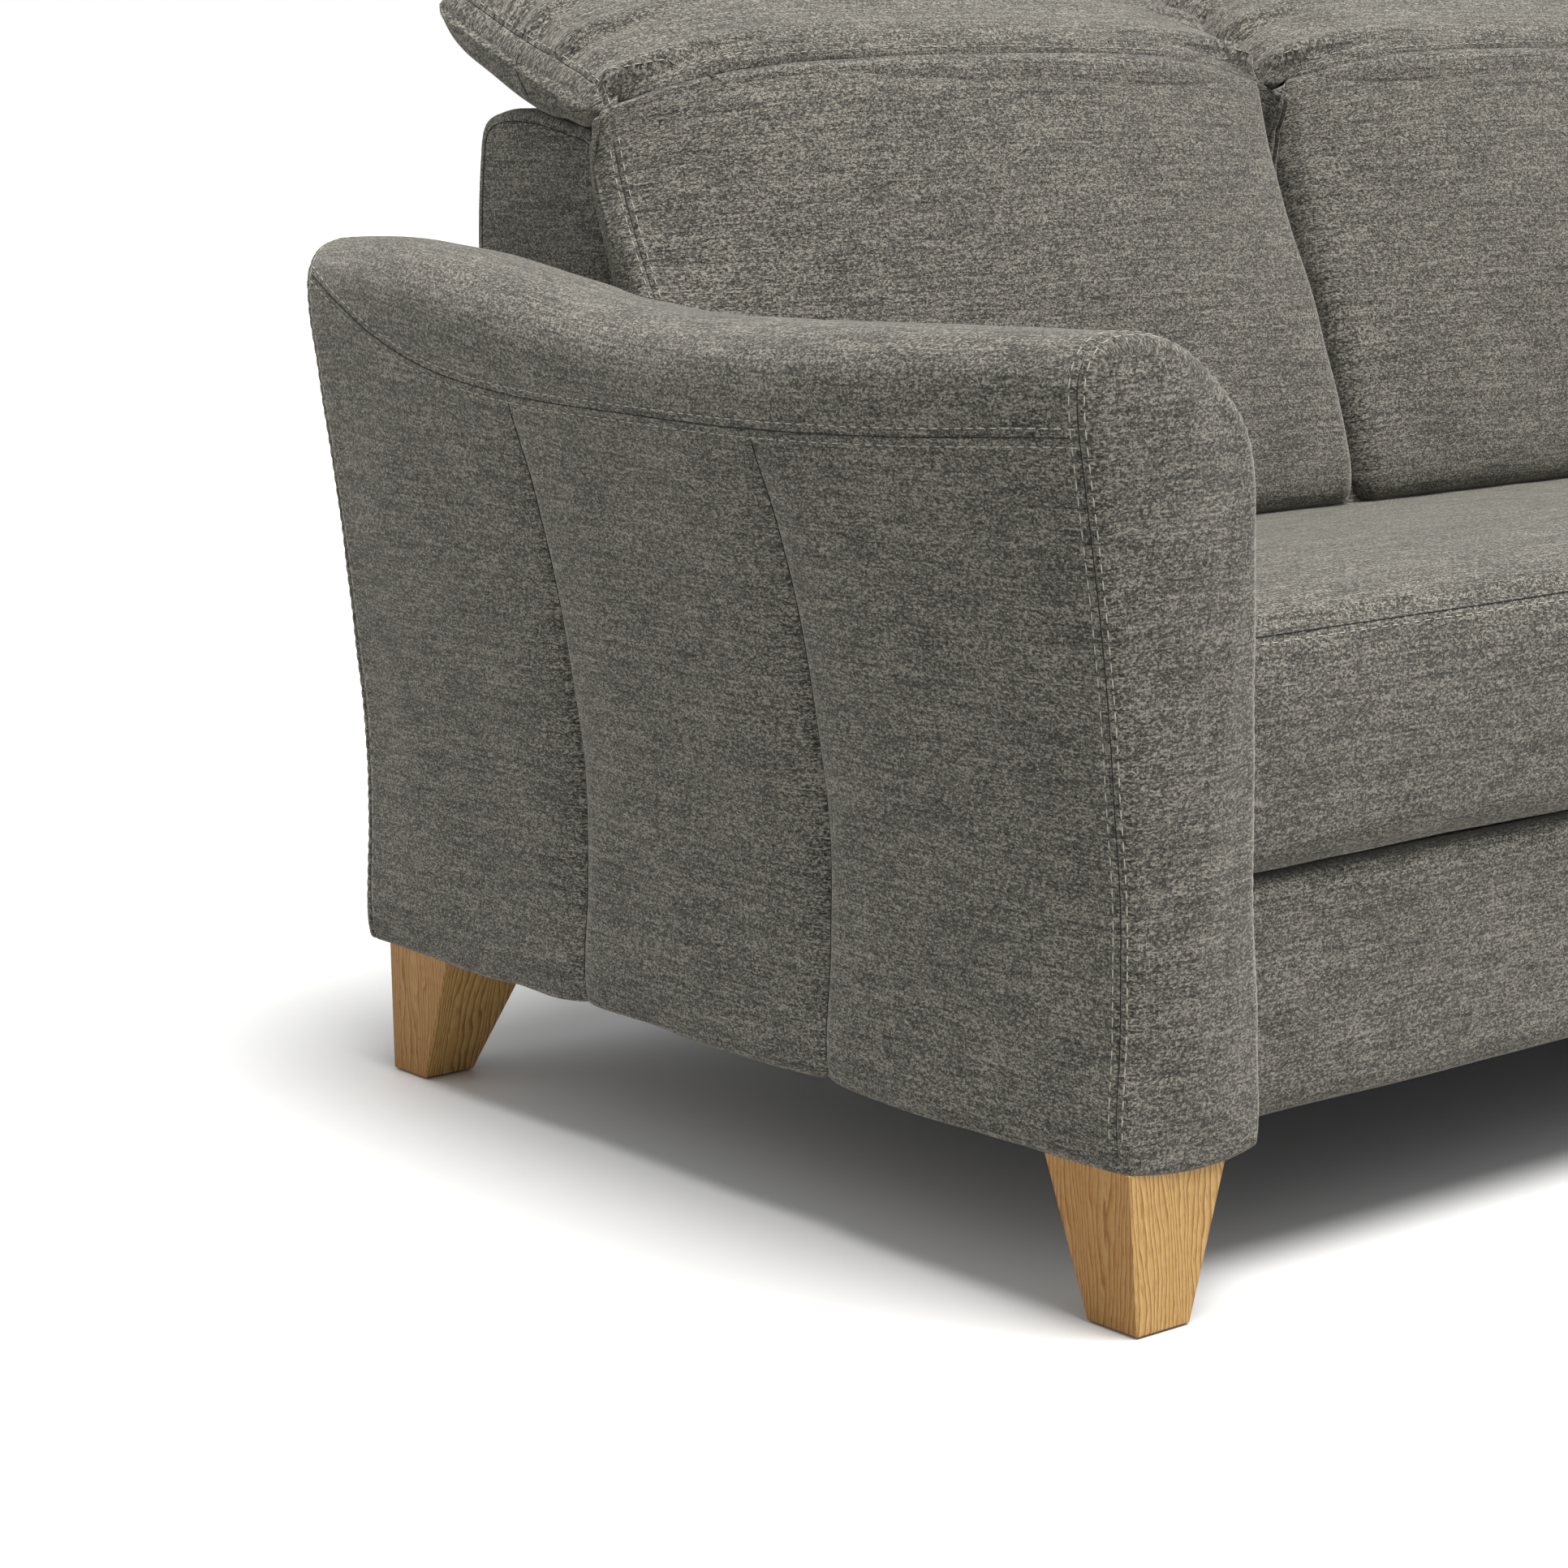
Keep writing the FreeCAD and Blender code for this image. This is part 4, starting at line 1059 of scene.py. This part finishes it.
def oiled_oak():
    """Oak staves glued side by side and oiled: straight grain up the leg with darker late wood and short open
    pores; satin. The legs' sides get more brown: painted shade."""
    oak = bpy.context.scene.sofa_oak
    pale, honey, brown = (hex_to_linear(code) for code in (oak.pale, oak.honey, oak.brown))
    tree = new_material("oak_oiled")
    face = add(tree, "UVMap", uv_map="grain")
    across = add(tree, "SeparateXYZ", {0: face})
    count = add(tree, "Math", {0: across, 1: oak.ring_width}, operation="DIVIDE")
    for size, detail, rough, shift in (((0.034, 0.20, 1.0), 1.0, 0.4, 9.0),     # sway up the leg
                                       ((0.012, 0.060, 1.0), 2.0, 0.5, 2.6)):   # ripple
        part = add(tree, "TexNoise", {"Vector": scaled(tree, face, size), "Scale": 1.0, "Detail": detail,
                                      "Roughness": rough})
        part = add(tree, "Math", {0: part, 1: shift}, operation="MULTIPLY")
        count = add(tree, "Math", {0: count, 1: part}, operation="ADD")
    ring = add(tree, "Math", {0: count}, operation="FRACT")
    pores = add(tree, "TexNoise", {"Vector": scaled(tree, face, (oak.pore_width, 0.014, 1.0)),
                                   "Scale": 1.0, "Detail": 2.0, "Roughness": 0.7})
    shade = add(tree, "ValToRGB", {"Fac": ring},
                stops=((0.0, pale), (0.60, honey), (0.88, brown), (1.0, pale)))
    dark = add(tree, "ValToRGB", {"Fac": pores}, stops=((0.33, grey(0.7)), (0.46, grey(0.0))))
    # painted shade: the faces on the legs' sides get a share of brown
    stave_and_side_shade = add(tree, "Math", {0: across, 1: SHADED_SIDE_OFFSET / 2}, operation="ADD")
    stave_and_side_shade = add(tree, "Math", {0: stave_and_side_shade, 1: STAVE}, operation="DIVIDE")
    stave_and_side_shade = add(tree, "Math", {0: stave_and_side_shade}, operation="FRACT")
    stave_and_side_shade = add(tree, "Math", {0: stave_and_side_shade, 1: SHADED_SIDE_OFFSET / STAVE}, operation="GREATER_THAN")
    stave_and_side_shade = add(tree, "Math", {0: stave_and_side_shade, 1: SIDE_SHADE_SHARE}, operation="MULTIPLY")
    for factor, tint in ((0.30, honey), (dark, brown), (stave_and_side_shade, brown)):
        shade = add(tree, "Mix", {"Factor": factor, 6: shade, 7: tint}, 2, data_type="RGBA")
    gloss = add(tree, "ValToRGB", {"Fac": pores}, stops=((0.30, grey(0.62)), (0.5, grey(0.40))))
    normal = add(tree, "Bump", {"Height": pores, "Strength": 0.25, "Distance": 0.0004})
    surface(tree, {"Base Color": shade, "Roughness": gloss, "Specular IOR Level": 0.25, "Normal": normal})


def plain_finish(name, low, high, size, stretch, rough, metallic):
    """Finish of a hidden or minor piece: two tones broken up at a real size, with a fine relief."""
    tree = new_material(name)
    place = scaled(tree, add(tree, "TexCoord", output="Object"), tuple(size * s for s in stretch))
    grain = add(tree, "TexNoise", {"Vector": place, "Scale": 1.0, "Detail": 3.0, "Roughness": 0.6})
    shade = add(tree, "ValToRGB", {"Fac": grain},
                stops=((0.35, hex_to_linear(low)), (0.65, hex_to_linear(high))))
    normal = add(tree, "Bump", {"Height": grain, "Strength": 0.3, "Distance": 0.0003})
    surface(tree, {"Base Color": shade, "Normal": normal, "Roughness": rough, "Metallic": metallic})


# Raw beech and plywood are pale, straight-grained and matt. Zinc plate is bright and even, spring steel
# dark with an oily gloss. Felt, nonwoven and webbing are fibrous and matt, moulded plastic is satin black.
PLAIN = (  # slot, name, darker, lighter, grain size, stretch along x y z, roughness, metallic
    ("beech_timber", "beech_planed", "b98d5e", "d8b384", 0.003, (8, 1, 1), 0.6, 0.0),
    ("birch_plywood", "birch_ply_sawn", "c3a273", "dcc399", 0.002, (1, 6, 6), 0.6, 0.0),
    ("zinc_steel", "steel_zinc_plated", "8f9296", "b4b6b8", 0.004, (1, 1, 1), 0.35, 1.0),
    ("spring_steel", "steel_spring_drawn", "2a2a2c", "44444a", 0.006, (1, 1, 1), 0.4, 1.0),
    ("felt_glide", "felt_wool_pressed", "2c2620", "453c33", 0.0012, (1, 1, 1), 0.95, 0.0),
    ("insulator_felt", "felt_needled", "8b8577", "c0b9a9", 0.004, (1, 1, 1), 0.95, 0.0),
    ("black_nonwoven", "nonwoven_spunbond", "101010", "232323", 0.0015, (1, 1, 1), 0.9, 0.0),
    ("elastic_webbing", "webbing_elastic", "1d1a17", "3a352e", 0.0016, (1, 4, 4), 0.85, 0.0),
    ("black_plastic", "plastic_moulded", "0c0c0c", "1b1b1b", 0.0009, (1, 1, 1), 0.55, 0.0),
)


# ---- operators -------------------------------------------------------------------------------------
class SOFA_OT_finishes(bpy.types.Operator):
    """Make the materials and give every frame piece its finish"""
    bl_idname = "sofa.finishes"
    bl_label = "Finishes"

    def execute(self, context):
        chenille_weave()
        stitch_thread()
        oiled_oak()
        seam_crease()
        finishes = {"chenille_fabric": "chenille_weave", "oiled_oak": "oak_oiled"}
        for slot, *row in PLAIN:
            plain_finish(*row)
            finishes[slot] = row[0]
        slots = {s["node"]: s["material_slot"] for s in frame["record"]["subparts"]}
        for name, obj in NODES.items():
            material = finishes[slots[name]]
            obj.data.materials.clear()
            obj.data.materials.append(bpy.data.materials[material])
        return {"FINISHED"}


class SOFA_OT_arms(bpy.types.Operator):
    """Sew the two arm covers with their seams and stitching"""
    bl_idname = "sofa.arms"
    bl_label = "Arm covers"

    def execute(self, context):
        arm = make_arm_cover()
        sew_pair(arm, *arm_threads(arm), "arm", "arm_pad", 0.8)
        return {"FINISHED"}


class SOFA_OT_seat(bpy.types.Operator):
    """Sew the bench seat and the apron below it"""
    bl_idname = "sofa.seat"
    bl_label = "Seat and apron"

    def execute(self, context):
        seat = make_seat_cover()
        finish_cover(seat.build("seat_cover"), "seat_cushion", BASE)
        finish_cover(make_apron_cover().build("apron_cover"), "front_apron", BASE)
        rows = np.arange(seat.first_seam, seat.last_seam, 1.0)
        run = seat.girth[len(seat.points) // 2, :-1]
        spots = [np.interp(run[seat_seam(seat)] + away, run, np.arange(len(run))) for away in (SEAT_ROW, 0.0)]
        paths = [seat.at(rows, np.full(len(rows), spot)) for spot in spots]
        thread_object("seat_stitching", paths[:1], paths[1:], BASE)
        return {"FINISHED"}


class SOFA_OT_back(bpy.types.Operator):
    """Sew the cover of the back and the two back cushions"""
    bl_idname = "sofa.back"
    bl_label = "Back"

    def execute(self, context):
        back = make_back_cover()
        finish_cover(back.build("back_cover_cloth"), "back_cover", BASE)
        edge = column_run(back, lambda y, z: z > 0.60 or y > 0.40)
        sides = ((back.first_seam, -1), (back.last_seam, 1))
        creases = [back.at(back.row_beside(seam, way * BACK_CREASE, edge), edge) for seam, way in sides]
        face = column_run(back, lambda y, z: y < 0.262 and z > 0.44)
        rows = [back.at(back.row_beside(seam, way * BACK_ROW, face), face) for seam, way in sides]
        thread_object("back_stitching", rows, creases, BASE)
        cushion = make_back_cushion()
        front = column_run(cushion, lambda y, z: y < 0.219 and 0.445 < z < 0.815)
        away = covers().twin_spacing * CUSHION_ROW
        rows = gusset_rows(cushion, (-away, away), front)
        creases = gusset_rows(cushion, (0.0,), front)
        sew_pair(cushion, rows, creases, "back_cushion", "back_cushion", 0.75)
        return {"FINISHED"}


class SOFA_OT_headrests(bpy.types.Operator):
    """Sew the two headrests"""
    bl_idname = "sofa.headrests"
    bl_label = "Headrests"

    def execute(self, context):
        rest = make_headrest()
        face = column_run(rest, lambda y, z: math.hypot(y - PIVOT.y, z - PIVOT.z) > 0.04
                          and (z - PIVOT.z) > (y - PIVOT.y) * math.tan(INCLINE) + 0.012)
        away = covers().twin_spacing * CUSHION_ROW
        rows = gusset_rows(rest, (away,), face)
        # the gusset seam and the dart are drawn as dark lines of painted shade
        creases = gusset_rows(rest, (0.0,), face) + [dart_path(rest)]
        fold = fold_columns(rest)
        inner = np.arange(rest.first_seam + 4, rest.last_seam - 1)
        rows.append(rest.at(inner.astype(float), fold[inner]))
        sew_pair(rest, rows, creases, "headrest", "headrest_pad", 0.75, moving="headrest")
        return {"FINISHED"}


class SOFA_OT_legs(bpy.types.Operator):
    """Shape the four oak legs"""
    bl_idname = "sofa.legs"
    bl_label = "Legs"

    def execute(self, context):
        for end in ("front", "rear"):
            for side in SIDES:
                make_leg(f"leg_{end}_{side}", f"oak_leg_{end}_{side}")
        return {"FINISHED"}


# ---- studio ----------------------------------------------------------------------------------------
CAMERA_PLACE = Vector((-2.4061, -2.1026, 0.8038))
FLOOR_HALF = 40.0
WIDE = math.radians(50)     # width of the front and the side light


def camera_matrix(place, yaw, pitch, roll):
    """Camera at a place, turned by yaw from straight ahead, tilted down by pitch and rolled."""
    ahead = Vector((math.sin(yaw) * math.cos(pitch), math.cos(yaw) * math.cos(pitch), -math.sin(pitch)))
    right = Vector((math.cos(yaw), -math.sin(yaw), 0.0))
    up = right.cross(ahead)
    turned = right * math.cos(roll) + up * math.sin(roll)
    top = up * math.cos(roll) - right * math.sin(roll)
    return Matrix.Translation(place) @ Matrix((turned, top, -ahead)).transposed().to_4x4()


def soft_light(name, source, strength, spread):
    """Light from far off, from the direction of source, spread over an angle."""
    light = bpy.data.lights.new(name, "SUN")
    light.energy = strength
    light.angle = spread
    obj = place_object(name, light)
    obj.location = source
    obj.rotation_mode = "QUATERNION"
    obj.rotation_quaternion = (-Vector(source)).to_track_quat("-Z", "Y")


def lay_floor(stage):
    """Studio floor: what the camera sees is paler than the light that the floor throws back."""
    bm = bmesh.new()
    bmesh.ops.create_grid(bm, x_segments=1, y_segments=1, size=FLOOR_HALF)
    mesh = bpy.data.meshes.new("studio_floor")
    bm.to_mesh(mesh)
    bm.free()
    floor = place_object("studio_floor", mesh)
    tree = new_material("studio_floor")
    place = add(tree, "TexCoord", output="Object")
    grain = add(tree, "TexNoise", {"Vector": place, "Scale": 90.0, "Detail": 3.0})
    shade = hex_to_linear(stage.floor)
    paper = add(tree, "Mix", {"Factor": grain, 6: darker(shade, 0.98), 7: shade}, 2, data_type="RGBA")
    seen = add(tree, "LightPath", output="Is Camera Ray")
    shown = add(tree, "Mix", {"Factor": seen, 6: hex_to_linear(stage.floor_bounce), 7: paper}, 2,
                data_type="RGBA")
    surface(tree, {"Base Color": shown, "Roughness": 0.6, "Specular IOR Level": 0.2})
    mesh.materials.append(bpy.data.materials["studio_floor"])


def set_camera(stage):
    camera = bpy.data.cameras.new("camera")
    camera.lens = stage.lens
    camera.sensor_width = 36.0
    camera.clip_end = 3 * FLOOR_HALF
    eye = place_object("camera", camera)
    eye.matrix_world = camera_matrix(CAMERA_PLACE, stage.yaw, stage.pitch, stage.roll)
    bpy.context.scene.camera = eye


def set_world(stage):
    """White behind the sofa, and a faint cool light from all round."""
    world = bpy.data.worlds.new("studio")
    world.use_nodes = True
    tree = world.node_tree
    tree.nodes.clear()
    seen = add(tree, "LightPath", output="Is Camera Ray")
    fill = add(tree, "Background", {"Color": (0.95, 0.97, 1.0, 1.0), "Strength": stage.fill})
    white = add(tree, "Background", {"Color": (1, 1, 1, 1), "Strength": 1.0})
    both = add(tree, "MixShader", {0: seen, 1: fill, 2: white})
    add(tree, "OutputWorld", {"Surface": both})
    bpy.context.scene.world = world


class SOFA_OT_stage(bpy.types.Operator):
    """Set the floor, the lights and the camera"""
    bl_idname = "sofa.stage"
    bl_label = "Studio"

    def execute(self, context):
        stage = context.scene.sofa_stage
        lay_floor(stage)
        set_camera(stage)
        soft_light("key_light", (0.1, -1.0, 3.2), stage.key, stage.spread)
        soft_light("overhead_light", (0.0, 0.0, 3.0), stage.sky, stage.sky_spread)
        soft_light("front_light", (1.0, -1.9, 2.2), stage.front, WIDE)
        soft_light("side_light", (-2.6, 0.4, 1.5), stage.side, WIDE)
        set_world(stage)
        context.scene.view_settings.view_transform = "Standard"
        return {"FINISHED"}


class SOFA_PT_panel(bpy.types.Panel):
    """Sizes, colours and steps of the sofa"""
    bl_label = "Sofa with wooden legs"
    bl_idname = "SOFA_PT_panel"
    bl_space_type = "VIEW_3D"
    bl_region_type = "UI"
    bl_category = "Sofa"

    def draw(self, context):
        for name, _ in GROUPS:
            group = getattr(context.scene, name)
            for key in group.bl_rna.properties.keys():
                if key not in ("rna_type", "name"):
                    self.layout.prop(group, key)
        for step in STEPS:
            self.layout.operator(step.bl_idname)


STEPS = (SOFA_OT_stage, SOFA_OT_finishes, SOFA_OT_arms, SOFA_OT_seat, SOFA_OT_back,
         SOFA_OT_headrests, SOFA_OT_legs)
GROUPS = (("sofa_covers", SofaCovers), ("sofa_fabric", SofaFabric), ("sofa_oak", SofaOak),
          ("sofa_stage", SofaStage))


def register():
    for name, group in GROUPS:
        bpy.utils.register_class(group)
        setattr(bpy.types.Scene, name, PointerProperty(type=group))
    for cls in STEPS + (SOFA_PT_panel,):
        bpy.utils.register_class(cls)


def unregister():
    for cls in (SOFA_PT_panel,) + STEPS[::-1]:
        bpy.utils.unregister_class(cls)
    for name, group in GROUPS[::-1]:
        delattr(bpy.types.Scene, name)
        bpy.utils.unregister_class(group)


def main():
    register()
    for step in STEPS:
        group, name = step.bl_idname.split(".")
        getattr(getattr(bpy.ops, group), name)()


if __name__ == "__main__":
    main()
